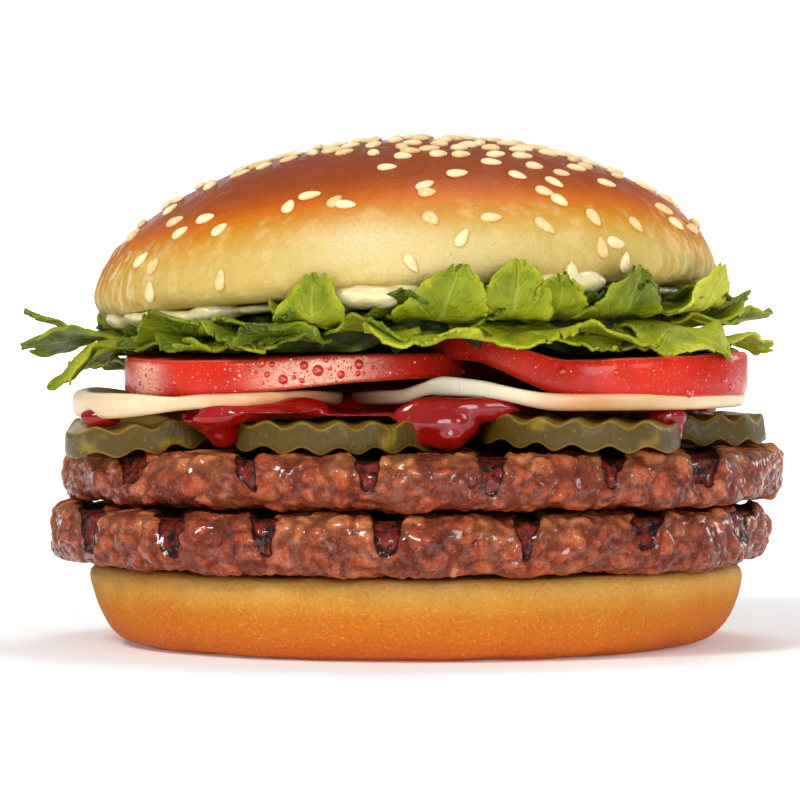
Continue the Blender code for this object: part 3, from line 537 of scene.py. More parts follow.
class Paint:
    """A procedural material: its Principled shader and the nodes behind it."""

    def __init__(self, name, **constants):
        self.material = bpy.data.materials.new(name)
        self.material.use_nodes = True
        self.tree = self.material.node_tree
        self.shader = self.tree.nodes["Principled BSDF"]
        for socket, value in constants.items():
            self.shader.inputs[socket.replace("_", " ")].default_value = value
        self.place = self.node("ShaderNodeTexCoord", {}, {}, "Object")

    def node(self, kind, values, inputs, output=0):
        """Adds a node, makes its settings, sets or links its sockets, and gives one output."""
        made = self.tree.nodes.new(kind)
        for name, value in values.items():
            if name == "stops":
                ramp = made.color_ramp.elements
                ramp.remove(ramp[1])
                ramp[0].position, ramp[0].color = value[0][0], (*value[0][1], 1)
                for position, colour in value[1:]:
                    ramp.new(position).color = (*colour, 1)
            else:
                setattr(made, name, value)
        for name, value in inputs.items():
            socket = made.inputs[name]
            if isinstance(value, Number):
                self.tree.links.new(value.socket, socket)
            elif socket.type == "RGBA":
                socket.default_value = (*value, 1)
            else:
                socket.default_value = value
        return Number(self, made.outputs[output])

    def cover(self, **links):
        """Links what varies to the shader."""
        for name, value in links.items():
            self.tree.links.new(value.socket, self.shader.inputs[name.replace("_", " ")])

    def mark(self, name):
        """A number that the mesh keeps for each vertex."""
        return self.node("ShaderNodeAttribute", {"attribute_name": name}, {}, "Fac")

    def axis(self, name):
        """X, Y or Z of the place, in metres."""
        return self.node("ShaderNodeSeparateXYZ", {}, {0: self.place}, name)

    def stretched(self, x, y, z):
        """The place with a pattern's scale along each axis."""
        return self.node("ShaderNodeMapping", {}, {"Vector": self.place, "Scale": (x, y, z)})

    def grain(self, size, detail=3.0, rough=0.55, at=None, warp=0.0):
        """Noise from 0 to 1 with swells of this size in millimetres."""
        return self.node("ShaderNodeTexNoise", {}, {
            "Vector": at or self.place, "Scale": 1 / (size * MM), "Detail": detail, "Roughness": rough,
            "Distortion": warp,
        })

    def cells(self, size, feature="F1", at=None):
        """The distance to scattered centres about this size apart in millimetres, or to the cells' edges."""
        return self.node("ShaderNodeTexVoronoi", {"feature": feature}, {
            "Vector": at or self.place, "Scale": 1 / (size * MM),
        }, "Distance")

    def ease(self, value, low, high, start=0.0, end=1.0):
        """Eases from start to end as the value goes from low to high."""
        return self.node("ShaderNodeMapRange", {"interpolation_type": "SMOOTHSTEP"}, {
            "Value": value, "From Min": low, "From Max": high, "To Min": start, "To Max": end,
        })

    def blend(self, share, first, second):
        """The first colour, and as share goes to 1 the second."""
        return self.node("ShaderNodeMix", {"data_type": "RGBA"}, {0: share, 6: first, 7: second}, 2)

    def ramp(self, value, *stops):
        """The colour of a value between (position, colour) stops."""
        return self.node("ShaderNodeValToRGB", {"stops": stops}, {0: value})

    def bump(self, height, depth, under=None):
        """The surface's normal with this height, of so many millimetres, on it."""
        inputs = {"Height": height, "Distance": depth * MM}
        if under:
            inputs["Normal"] = under
        return self.node("ShaderNodeBump", {}, inputs)


def dark(colour, share):
    """A colour times a share of its light."""
    return tuple(value * share for value in colour)


# The stage

def near_white(paint):
    """The colour of the floor and the backdrop."""
    return paint.blend(paint.grain(60, 2), screen(246, 246, 246), screen(250, 250, 250))


class HAMBURGER_OT_stage(bpy.types.Operator):
    """Adds the pale floor, the soft studio light and the camera"""

    bl_idname = "hamburger.stage"
    bl_label = "Stage"

    def execute(self, context):
        scene = context.scene
        bpy.ops.object.select_all(action="DESELECT")
        size = settings().floor_size
        bpy.ops.mesh.primitive_plane_add(size=size, location=(0, size / 4, 0))
        floor = new_piece("floor")
        bpy.ops.object.transform_apply(location=True, rotation=True, scale=True)
        paint = Paint("pale_floor", Roughness=0.9, Emission_Strength=1.0, Specular_IOR_Level=0.0)
        away = paint.node("ShaderNodeVectorMath", {"operation": "LENGTH"}, {0: paint.place}, "Value")
        glow = paint.blend(paint.ease(away, FLOOR_SHADED, FLOOR_WHITE), (0.13, 0.13, 0.13), (1, 1, 1))
        paint.cover(Base_Color=near_white(paint), Emission_Color=glow)
        floor.data.materials.append(paint.material)
        upright = (math.pi / 2, 0, 0)
        bpy.ops.mesh.primitive_plane_add(size=size / 6, location=(0, size / 4, 0), rotation=upright)
        backdrop = new_piece("backdrop")
        bpy.ops.object.transform_apply(location=True, rotation=True, scale=True)
        paint = Paint("white_backdrop", Roughness=0.9, Emission_Color=(1, 1, 1, 1), Emission_Strength=1.0)
        paint.cover(Base_Color=near_white(paint))
        backdrop.data.materials.append(paint.material)

        world = bpy.data.worlds.new("studio")
        world.use_nodes = True
        sky = world.node_tree.nodes["Background"]
        sky.inputs["Color"].default_value = (1, 1, 1, 1)
        sky.inputs["Strength"].default_value = WORLD_LIGHT
        scene.world = world
        for name, (at, side, watts) in LAMPS.items():
            bpy.ops.object.light_add(type="AREA", location=at)
            lamp = context.object
            lamp.name = name
            lamp.data.size = side
            lamp.data.energy = watts
            lamp.rotation_euler = (LAMPS_AIM - Vector(at)).to_track_quat("-Z", "Y").to_euler()

        turn = (CAMERA_AIM - CAMERA_AT).to_track_quat("-Z", "Y").to_euler()
        bpy.ops.object.camera_add(location=CAMERA_AT * MM, rotation=turn)
        camera = context.object
        camera.data.lens = CAMERA_LENS
        camera.data.sensor_width = CAMERA_SENSOR
        camera.data.clip_end = 20
        scene.camera = camera
        scene.view_settings.view_transform = "Standard"
        return {"FINISHED"}


# The bun

class HAMBURGER_OT_heel(bpy.types.Operator):
    """Adds the bottom half of the bun, soft and matte with a pale upper edge"""

    bl_idname = "hamburger.heel"
    bl_label = "Heel"

    def execute(self, context):
        corners = [
            (0, HEEL_HEIGHT), (HEEL_RADIUS - 1.6, HEEL_HEIGHT), (HEEL_RADIUS, HEEL_HEIGHT - 1.3),
            (HEEL_RADIUS - 1.0, 7.6), (HEEL_RADIUS - 2.9, 3.4), (HEEL_RADIUS - 5.4, 1.0),
            (HEEL_RADIUS - 9.0, 0), (0, 0),
        ]
        heel = round_body("heel", rounded_profile(corners, 140), 300)
        points = points_of(heel)
        flat = points * (1, 1, 0)
        swell = 1 + 0.014 * noise_at(flat, 38, (2, 5, 1))
        points[:, :2] *= swell[:, None]
        rim = smooth((numpy.hypot(points[:, 0], points[:, 1]) - 40) / 8)
        lumps = 0.28 * noise_at(points, 9) + 0.14 * noise_at(points, 3.5)
        points += normals_of(heel) * (lumps * rim)[:, None]
        points[:, 2] = numpy.maximum(points[:, 2], 0)
        set_points(heel, points)

        chosen = settings()
        paint = Paint("toasted_heel", Roughness=0.75, Specular_IOR_Level=0.15)
        broad = paint.grain(11, 3, 0.6, paint.stretched(1, 1, 0.6))
        fine = paint.grain(0.55, 2, 0.7)
        level = paint.axis("Z") * (1 / MM) + (broad - 0.5) * 5.0
        colour = paint.ramp(
            level * (1 / 14),
            (0.0, chosen.heel_brown), (0.2, screen(206, 108, 30)), (0.5, chosen.heel_gold),
            (0.64, screen(200, 136, 46)), (0.76, screen(202, 150, 66)), (0.95, chosen.heel_crumb),
        )
        colour = paint.blend(paint.ease(fine, 0.5, 0.25) * 0.3, colour, dark(chosen.heel_brown, 0.6))
        colour = paint.blend(paint.ease(fine, 0.55, 0.75) * 0.4, colour, screen(238, 186, 104))
        pores = paint.bump(fine, 0.16, paint.bump(paint.grain(2.4, 3), 0.35))
        paint.cover(Base_Color=colour, Normal=pores)
        dress(heel, paint, "heel_bun", "heel_bun")
        return {"FINISHED"}


def crown_matrix():
    """Takes the crown from its own level frame to where it lies askew on the burger."""
    tilt = Matrix.Rotation(CROWN_ROLL, 4, "Y") @ Matrix.Rotation(CROWN_PITCH, 4, "X")
    return Matrix.Translation(CROWN_MIDDLE) @ tilt


def crown_underside(x, y):
    """The height of the crown's flat underside over a place."""
    return CROWN_MIDDLE.z - (x - CROWN_MIDDLE.x) * math.tan(CROWN_ROLL) + y * math.tan(CROWN_PITCH)


def through(matrix, points):
    """The points after a matrix."""
    turn = numpy.array(matrix.to_3x3())
    return points @ turn.T + numpy.array(matrix.translation)


def warped(paint):
    """The place, bent a little by noise."""
    waves = paint.node("ShaderNodeTexNoise", {}, {"Vector": paint.place, "Scale": 1 / (2 * MM)}, "Color")
    shift = paint.node("ShaderNodeVectorMath", {"operation": "SCALE"}, {0: waves, 3: 0.9 * MM})
    return paint.node("ShaderNodeVectorMath", {"operation": "ADD"}, {0: paint.place, 1: shift})


class HAMBURGER_OT_crown(bpy.types.Operator):
    """Adds the top half of the bun, from a brown glazed top down to a pale rim"""

    bl_idname = "hamburger.crown"
    bl_label = "Crown"

    def execute(self, context):
        tall = CROWN_HEIGHT - CROWN_EDGE_HEIGHT
        profile = []
        for row in range(73):
            turn = math.radians(90 * (1 - row / 72))
            height = CROWN_EDGE_HEIGHT + tall * math.sin(turn) ** 1.16
            profile.append((CROWN_RADIUS * math.cos(turn), height))
        profile[0] = (0, CROWN_HEIGHT)
        for row in range(1, 15):
            turn = math.radians(-90 * row / 14)
            inward = CROWN_TUCK * (1 - math.cos(turn))
            profile.append((CROWN_RADIUS - inward, CROWN_EDGE_HEIGHT * (1 + math.sin(turn))))
        profile += [(radius, 0) for radius in (44, 38, 30, 18, 0)]
        crown = round_body("crown", profile, 320)
        points = points_of(crown)
        swell = 1 + 0.016 * noise_at(points * (1, 1, 0) + (0, 0, 4), 34)
        points[:, :2] *= swell[:, None]
        reach = numpy.hypot(points[:, 0], points[:, 1])
        rim = smooth((reach - 40) / 10)
        ends = smooth((abs(points[:, 0]) - 36) / 12)
        folds = noise_at(points * (1, 1, 0.25), 2.6) * rim * (0.12 + 0.3 * ends)
        set_mark(crown, "wrinkle", ends * smooth((18 - points[:, 2]) / 10))
        # Painted highlight: a small pale patch and a wider, lower one on the front of the crown
        spot = ((points[:, 0] + 6.5) / 9.5) ** 2 + ((points[:, 2] - 9.2) / 3.0) ** 2
        pale = ((points[:, 0] - 4) / 17) ** 2 + ((points[:, 2] - 5) / 4) ** 2
        set_mark(crown, "sheen", (numpy.exp(-spot) + 0.8 * numpy.exp(-pale)) * (points[:, 1] < 0))
        lumps = 0.2 * noise_at(points, 8) + 0.10 * noise_at(points, 3.2)
        points += normals_of(crown) * ((lumps + folds) * (points[:, 2] > 0.5))[:, None]
        bake = points[:, 2] - 0.166 * numpy.maximum(0, -points[:, 1])
        set_mark(crown, "bake", bake)
        set_points(crown, through(crown_matrix(), points))

        chosen = settings()
        paint = Paint("baked_crown", Coat_Roughness=0.3, Specular_IOR_Level=0.04)
        broad = paint.grain(13, 3, 0.55)
        fine = paint.grain(0.5, 2, 0.7)
        skin = paint.cells(0.75)
        level = paint.mark("bake") + (broad - 0.5) * 3.4
        colour = paint.ramp(
            level * (1 / 20),
            (0.0, chosen.crust_pale), (0.09, screen(194, 156, 72)), (0.19, screen(194, 142, 46)),
            (0.29, chosen.crust_gold), (0.38, screen(194, 102, 18)), (0.5, chosen.crust_brown),
            (0.64, screen(146, 62, 12)), (1.0, screen(130, 54, 16)),
        )
        speck = paint.ease(fine, 0.62, 0.8) * 0.25
        colour = paint.blend(speck, colour, screen(244, 222, 170))
        cracks = paint.ease(paint.cells(0.9, "DISTANCE_TO_EDGE", warped(paint)), 0.02, 0.12)
        # Painted highlight: the two pale patches, broken by a faint crackle, lighten the crust to a pale
        # cream
        sheen = paint.mark("sheen") * (0.35 + cracks * 0.15)
        colour = paint.blend(sheen, colour, screen(226, 212, 176))
        streaks = paint.grain(1.5, 3, 0.6, paint.stretched(1, 1, 0.22))
        wrinkled = paint.mark("wrinkle")
        colour = paint.blend(wrinkled * paint.ease(streaks, 0.52, 0.4) * 0.55, colour, screen(186, 122, 56))
        colour = paint.blend(wrinkled * paint.ease(streaks, 0.52, 0.64) * 0.6, colour, screen(240, 220, 178))
        colour = paint.blend(paint.ease(fine, 0.42, 0.25) * 0.3, colour, dark(chosen.crust_brown, 0.8))
        blotch = paint.ease(paint.grain(4.5, 4, 0.65), 0.46, 0.66) * paint.ease(level, 8, 5)
        colour = paint.blend(blotch * 0.5, colour, screen(214, 184, 122))
        rough = paint.ease(level, 4, 11, 0.52, 0.3) + fine * 0.1
        glaze = paint.ease(level, 3, 10, 0.12, 0.08)
        pores = paint.bump(skin, 0.05, paint.bump(paint.grain(1.6, 3), 0.28))
        pores = paint.bump(streaks * wrinkled, 0.8, pores)
        paint.cover(Base_Color=colour, Roughness=rough, Coat_Weight=glaze, Normal=pores)
        dress(crown, paint, "crown_bun", "crown_bun")
        return {"FINISHED"}


def seed_places(dome):
    """Where each sesame seed lies: those that the photograph shows first, then the rest, thickest on top."""
    found = []
    for column, row, turn in SEEDS_SEEN:
        point, normal, _, _ = dome.ray_cast(*photo_ray(column, row))
        if point:
            found.append((point / MM, normal, turn))
    draw = random.Random(4)
    for _ in range(SEED_TRIES):
        reach = CROWN_RADIUS * 0.97 * math.sqrt(draw.random())
        around = draw.uniform(0, 2 * math.pi)
        tall_enough = draw.random()
        turn = draw.uniform(0, 180)
        x, y = CROWN_MIDDLE.x + reach * math.cos(around), reach * math.sin(around)
        point, normal, _, _ = dome.ray_cast(Vector((x, y, 200)) * MM, Vector((0, 0, -1)))
        if not point:
            continue
        point = point / MM
        front = y < -12 - 6 * abs(math.sin(around * 3)) and point.z < 79.5
        wanted = smooth((point.z - 64) / 14) * 0.95 + 0.05
        near = min((point - other).length for other, _, _ in found)
        apart = SEED_GAP_ON_TOP if point.z > 77 else SEED_GAP
        if near > apart and tall_enough < wanted and not front:
            found.append((point, normal, turn))
    return found


class HAMBURGER_OT_seeds(bpy.types.Operator):
    """Scatters sesame seeds over the crown, half sunk in its glaze"""

    bl_idname = "hamburger.seeds"
    bl_label = "Sesame seeds"

    def execute(self, context):
        chosen = settings()
        bpy.ops.object.select_all(action="DESELECT")
        bpy.ops.mesh.primitive_uv_sphere_add(segments=12, ring_count=8, radius=0.5)
        seed = new_piece("seed")
        points = points_of(seed)[:, (2, 1, 0)] * (1, 1, -1) * MM
        points[:, 1] *= 1 - 0.62 * points[:, 0]
        points[:, 2] *= 1 - 0.4 * points[:, 0]
        set_points(seed, points * (chosen.seed_length / MM, chosen.seed_width / MM, 1.25))
        draw = random.Random(9)
        places = []
        for point, normal, turn in seed_places(tree_of(bpy.data.objects["crown"])):
            spans = ((0.85, 1.12), (0.85, 1.1), (0.8, 1.1))
            size = Matrix.Diagonal((*[draw.uniform(*span) for span in spans], 1))
            places.append((lying(point, normal, turn, -0.22) @ size, draw.random()))
        seeds = scatter("sesame_seeds", seed, places)
        paint = Paint("toasted_sesame", Roughness=0.45, Specular_IOR_Level=0.3)
        tone = paint.mark("tone")
        colour = paint.blend(paint.ease(tone, 0.0, 0.7), screen(222, 176, 108), chosen.seed)
        mottle = paint.ease(paint.grain(0.9, 2), 0.35, 0.65) * 0.5
        colour = paint.blend(mottle, colour, screen(244, 222, 178))
        paint.cover(Base_Color=colour, Normal=paint.bump(paint.grain(0.6, 2), 0.08))
        dress(seeds, paint, "crown_bun")
        return {"FINISHED"}


# The patties

def minced_patty(name, thickness, base, x, draw):
    """A patty of coarse mince: lumps with creases between them, and the grooves of the grill's bars."""
    half = thickness / 2
    shares = (0, 0.25, 0.45, 0.58, 0.68, 0.75, 0.8, 0.84, 0.87, 0.895, 0.915)
    face = [(PATTY_RADIUS * share, half) for share in shares]
    side = []
    for row in range(31):
        turn = math.pi * (0.5 - row / 30)
        height = math.copysign(abs(math.sin(turn)) ** 0.9, math.sin(turn)) * half * 0.98
        side.append((PATTY_RADIUS - 4 + 4 * max(0.0, math.cos(turn)) ** 0.62, height))
    patty = round_body(f"{name}_mince", face + side + [(radius, -half) for radius, _ in reversed(face)], 760)
    points = points_of(patty)
    share = numpy.hypot(points[:, 0], points[:, 1]) / PATTY_RADIUS
    normals = normals_of(patty)
    around = noise_at(points * (1, 1, 0) + (0, 0, draw * 7), 26)
    crag = noise_at(points, 7, (draw, 0, 0))
    moved = points.copy()
    moved[:, :2] *= (1 + 0.016 * around + 0.022 * crag * smooth((share - 0.8) / 0.2))[:, None]
    dent = 0.55 * abs(noise_at(points * (1, 1, 0) + (0, 0, draw * 3), 11))
    moved[:, 2] -= numpy.copysign(dent, points[:, 2]) * numpy.minimum(1, abs(points[:, 2]) / half)

    bent = points + 1.5 * noise_vectors_at(points, 3.4)
    near, far = cells_at(bent, (4.6, 4.6, 3.1), draw * 11.0)
    crease = smooth((far - near) / 0.5)
    near_small, far_small = cells_at(bent, (2.0, 2.0, 1.5), draw * 5.0)
    crease_small = smooth((far_small - near_small) / 0.6)
    fine = noise_at(points, 1.1, (draw, 5, 2))
    folds = noise_at(points * (1, 1, 0.6), 5.5, (draw, 2, 2))
    lumps = 0.42 * (crease - 0.7) * (1.1 - near * 0.5) + 0.2 * (crease_small - 0.6)
    lumps = lumps + 0.12 * fine + 0.6 * folds

    level = (points[:, 2] / half + 1) / 2
    wobble = 0.9 * noise_at(points, 4.5, (9, draw, 0))
    frayed = 0.5 * noise_at(points, 1.6, (3, draw, 0))
    char = numpy.zeros(len(points))
    for number, mark in enumerate(CHAR_MARKS[name]):
        end = 0.26 + 0.16 * noise_at([(number * 3.7, draw * 2.3, 0.5)], 1)[0]
        deep = smooth((level - end + 0.16 * frayed) / 0.12)
        wide = 1 + 0.35 * math.sin(number * 2.4 + draw)
        width = wide + 1.1 * smooth((level - end) / (1 - end))
        beside = abs(points[:, 0] + x - mark + 0.9 * wobble) - width - 0.9 * frayed
        char = numpy.maximum(char, deep * (1 - smooth(beside / 0.9 + 0.5)))
    outer = smooth((share - 0.5) / 0.3)
    depth = lumps * (1 - 0.6 * char) * outer - settings().char_depth / MM * char * outer
    hang = 0.55 * noise_at(points * (1, 1, 0), 5.5, (0, 0, draw)) * smooth((0.35 - level) / 0.3) * outer
    moved += normals * depth[:, None]
    moved[:, 2] -= hang * (share > 0.93)
    set_points(patty, moved + (x, 0, base + half))
    set_mark(patty, "char", char)
    # Painted shade: this mark is high in the creases between the lumps, where the material darkens the meat
    set_mark(patty, "hollow", 1 - crease * (0.7 + 0.3 * crease_small))
    set_mark(patty, "level", level)
    return patty


class HAMBURGER_OT_patties(bpy.types.Operator):
    """Adds the two grilled patties of coarse mince"""

    bl_idname = "hamburger.patties"
    bl_label = "Patties"

    def execute(self, context):
        chosen = settings()
        paint = Paint("grilled_meat", Coat_Roughness=0.12, Specular_IOR_Level=0.12)
        broad = paint.grain(7, 3, 0.6)
        mid = paint.grain(1.7, 4, 0.65)
        fine = paint.grain(0.4, 3, 0.7)
        hollow = paint.mark("hollow")
        char = paint.mark("char")
        colour = paint.ramp(
            broad * 0.45 + mid * 0.55,
            (0.32, screen(96, 38, 20)), (0.42, dark(chosen.meat, 0.66)), (0.5, chosen.meat),
            (0.6, screen(180, 96, 54)), (0.72, screen(200, 124, 76)),
        )
        # Lighter tan patches towards the upper edge: partly the meat's own paler patches, partly painted
        # highlight where light falls on the top edge
        tan = paint.ease(paint.mark("level") + (mid - 0.5) * 0.8, 0.5, 1.0) * paint.ease(broad, 0.4, 0.58)
        colour = paint.blend(tan * 0.7, colour, screen(208, 134, 74))
        fat = paint.ease(paint.grain(1.1, 2, 0.5, warp=1.5), 0.62, 0.7)
        colour = paint.blend(fat * 0.42, colour, screen(224, 158, 120))
        # Painted shade: the creases between the lumps are darkened towards a deep brown
        colour = paint.blend(paint.ease(hollow, 0.4, 1.0) * 0.6, colour, screen(60, 22, 12))
        ember = paint.ease(mid, 0.4, 0.58) * paint.ease(char, 0.55, 0.95)
        burnt = paint.blend(ember, chosen.char, screen(120, 34, 16))
        colour = paint.blend(paint.ease(char + (fine - 0.5) * 0.3, 0.3, 0.5), colour, burnt)
        side_on = paint.ease(paint.mark("level"), 0.97, 0.9)
        rough = paint.ease(mid, 0.3, 0.7, 0.55, 0.38) + (1 - side_on) * 0.4
        wet = paint.ease(paint.grain(1.3, 3, 0.65), 0.46, 0.56, 0.0, 0.9) * side_on
        grit = paint.bump(fine, 0.3, paint.bump(mid, 0.7))
        paint.cover(Base_Color=colour, Roughness=rough, Coat_Weight=wet, Normal=grit)
        for name, sizes in PATTIES.items():
            dress(minced_patty(name, **sizes), paint, "grilled_meat", name)
        return {"FINISHED"}


# Pickles, onion and tomato

def crinkled_chip(name, x, y, radius, tilt_x, tilt_y, ridge, lift):
    """A pickle chip whose two faces rise and fall together in straight ridges."""
    half = PICKLE_THICKNESS / 2
    inner = [radius * share for share in (0, 0.2, 0.35, 0.5, 0.62, 0.72, 0.8, 0.86, 0.91, 0.945, 0.965)]
    side = []
    for turn in numpy.linspace(1.45, -1.45, 11).tolist():
        height = half * math.copysign(abs(math.sin(turn)) ** 0.45, turn)
        side.append((radius - 0.45 + 0.45 * math.cos(turn) ** 0.8, height))
    profile = [(r, half) for r in inner] + side + [(r, -half) for r in reversed(inner)]
    chip = round_body(f"{name}_chip", profile, 200)
    points = points_of(chip)
    reach = numpy.hypot(points[:, 0], points[:, 1])
    turn = math.radians(ridge)
    along = points[:, 0] * math.cos(turn) + points[:, 1] * math.sin(turn)
    rim = smooth((reach / radius - 0.75) / 0.2)
    height = SOLID_WAVE + (settings().crinkle / MM - SOLID_WAVE) * rim
    beside = smooth((0.99 - abs(points[:, 2]) / half) / 0.2)
    set_mark(chip, "skin", smooth((reach / radius - 0.955) / 0.02) * beside)
    points[:, 2] += height * numpy.cos(2 * math.pi * along / WAVE_PITCH)
    points += normals_of(chip) * (0.12 * noise_at(points, 3, (x, y, 0)))[:, None]
    points[:, 0] *= 1 - 0.012 * points[:, 2]
    low_side = radius * math.sin(math.radians(abs(tilt_x) + abs(tilt_y))) * 0.12
    middle = PICKLE_BASE + SOLID_WAVE + half + low_side + lift
    tilt = Matrix.Rotation(math.radians(tilt_y), 4, "Y") @ Matrix.Rotation(math.radians(tilt_x), 4, "X")
    set_points(chip, through(Matrix.Translation((x, y, middle)) @ tilt, points))
    return chip


class HAMBURGER_OT_pickles(bpy.types.Operator):
    """Adds the crinkle-cut pickle chips"""

    bl_idname = "hamburger.pickles"
    bl_label = "Pickles"

    def execute(self, context):
        chosen = settings()
        paint = Paint("pickle", Coat_Weight=0.12, Coat_Roughness=0.16, Specular_IOR_Level=0.2)
        streaks = paint.grain(0.9, 4, 0.65, paint.stretched(1, 1, 0.15))
        broad = paint.grain(8, 2)
        side = paint.blend(streaks, dark(chosen.pickle_skin, 0.62), chosen.pickle_skin)
        side = paint.blend(paint.ease(broad, 0.6, 0.72) * 0.5, side, screen(166, 134, 20))
        mottled = paint.ease(paint.grain(2.2, 4, 0.7), 0.5, 0.62)
        side = paint.blend(mottled * 0.45, side, screen(70, 66, 16))
        side = paint.blend(paint.ease(paint.cells(1.5), 0.22, 0.08) * 0.3, side, screen(150, 136, 56))
        cloudy = paint.ease(paint.grain(1.6, 3), 0.35, 0.65)
        flesh = paint.blend(cloudy, chosen.pickle_flesh, screen(134, 108, 40))
        colour = paint.blend(paint.mark("skin"), flesh, side)
        paint.cover(
            Base_Color=colour, Roughness=paint.ease(streaks, 0.3, 0.7, 0.28, 0.5),
            Normal=paint.bump(streaks, 0.2, paint.bump(paint.grain(0.7, 3), 0.22)),
        )
        for name, sizes in PICKLES.items():
            dress(crinkled_chip(name, *sizes), paint, "pickle", name)
        return {"FINISHED"}


def lie(x, y):
    """How far onion and tomato lie above their layer's height: they sag at the front left."""
    hump = HUMP * smooth(1 - abs(x - HUMP_AT) / HUMP_SPREAD)
    return hump - SAG * smooth((-(0.8 * x + 0.6 * y) - SAG_FROM) / SAG_OVER)


def onion_ring(name, x, y, radius, rise, droop, phase):
    """A ring of onion: a band that rises at its outer side and droops a little there."""
    bpy.ops.object.select_all(action="DESELECT")
    middle = radius - ONION_WALL / 2
    bpy.ops.mesh.primitive_torus_add(
        major_segments=220, minor_segments=28, major_radius=middle * MM, minor_radius=MM
    )
    ring = new_piece(f"{name}_band")
    points = points_of(ring)
    around = numpy.arctan2(points[:, 1], points[:, 0])
    out, up = numpy.hypot(points[:, 0], points[:, 1]) - middle, points[:, 2]
    out = numpy.copysign(abs(out) ** 0.55, out) * ONION_WALL / 2
    up = numpy.copysign(abs(up) ** 0.7, up) * ONION_HEIGHT / 2 + ONION_HEIGHT / 2
    reach = middle + out - 0.35 * smooth(1 - up / ONION_HEIGHT) * (out > 0)
    round_it = numpy.stack([numpy.cos(around) * 8, numpy.sin(around) * 8, up], 1)
    reach += 0.22 * noise_at(round_it, 2.5, (radius, 0, 0))
    level = numpy.stack([reach * numpy.cos(around), reach * numpy.sin(around), up], 1)
    at = level[:, :2] + (x, y)
    clear = numpy.min([
        numpy.hypot(at[:, 0] - cut[0], at[:, 1] - cut[1]) - cut[2] for cut in TOMATOES.values()
    ], 0)
    outside = smooth((clear - 1.6) / 5)
    sag = 0.4 * (0.5 + 0.5 * numpy.sin(3 * around + phase))
    upper = numpy.maximum(0, up / ONION_HEIGHT)
    shift = (rise * outside - sag) * upper - droop * outside * (1 - upper)
    level[:, 2] += shift + lie(at[:, 0], at[:, 1])
    front = smooth(-level[:, 1] / radius * 1.4)
    if name == "onion_ring_left":
        level[:, 1] -= LEFT_RING_FORWARD * front * smooth((at[:, 0] + 38) / 14)
        level[:, 2] += LEFT_RING_UP * front * smooth((at[:, 0] + 50) / 18)
    if name == "onion_ring_right":
        left_part = smooth((at[:, 0] + 3) / 6) * smooth((22 - at[:, 0]) / 12)
        level[:, 2] += RIGHT_RING_UP * front * left_part
        level[:, 2] += RIGHT_RING_THICKER * upper * front * smooth((at[:, 0] - 12) / 10)
    set_points(ring, level + (x, y, ONION_BASE))
    set_mark(ring, "around", around * radius)
    set_mark(ring, "up", upper)
    # Peach patches at the front of the left and right rings: partly the onion's own tint, partly painted
    # shade with red reflected from the ketchup
    tip, side = ((level[:, 0] + x + 23) / 13) ** 2, ((level[:, 0] + x - 26) / 13) ** 2
    set_mark(ring, "blush", numpy.minimum(1, numpy.exp(-tip) + numpy.exp(-side)))
    # Painted light: the rings are paler around x = 8 mm, where the right ring lies in the shade of the tomato
    # above
    set_mark(ring, "pale", numpy.exp(-((level[:, 0] + x - 8) / 11) ** 2))
    return ring


class HAMBURGER_OT_onions(bpy.types.Operator):
    """Adds the rings of raw onion"""

    bl_idname = "hamburger.onions"
    bl_label = "Onion"

    def execute(self, context):
        chosen = settings()
        paint = Paint(
            "raw_onion", Coat_Weight=0.2, Coat_Roughness=0.15, Subsurface_Weight=0.25, Subsurface_Scale=0.003
        )
        fibres = paint.node("ShaderNodeTexNoise", {"noise_dimensions": "1D"}, {
            "W": paint.mark("around"), "Scale": 2.2, "Detail": 3.0, "Roughness": 0.6,
        })
        broad = paint.grain(14, 2)
        # Peach from broad noise is the onion's own tint; peach from the front patches is partly painted shade
        # with red reflected from the ketchup
        blush = paint.mark("blush") * 0.75 + paint.ease(broad, 0.6, 0.44) * 0.25
        colour = paint.blend(blush, chosen.onion, screen(214, 148, 94))
        colour = paint.blend(paint.ease(fibres, 0.55, 0.8) * 0.35, colour, screen(214, 160, 112))
        colour = paint.blend(paint.ease(paint.mark("up"), 0.75, 1.05) * 0.5, colour, screen(232, 216, 186))
        # Painted shade with red reflected from the ketchup: a darker peach towards the lower edge of each
        # ring
        colour = paint.blend(paint.ease(paint.mark("up"), 0.3, 0.0) * 0.4, colour, screen(220, 150, 100))
        # Painted light: paler around x = 8 mm, over the shade that the tomato casts there
        colour = paint.blend(paint.mark("pale") * 0.9, colour, screen(254, 242, 216))
        rough = paint.ease(fibres, 0.3, 0.7, 0.3, 0.45)
        ribs = paint.bump(fibres, 0.1, paint.bump(broad, 0.3))
        paint.cover(Base_Color=colour, Roughness=rough, Normal=ribs)
        for name, sizes in ONIONS.items():
            dress(onion_ring(name, *sizes), paint, "onion", name)
        return {"FINISHED"}


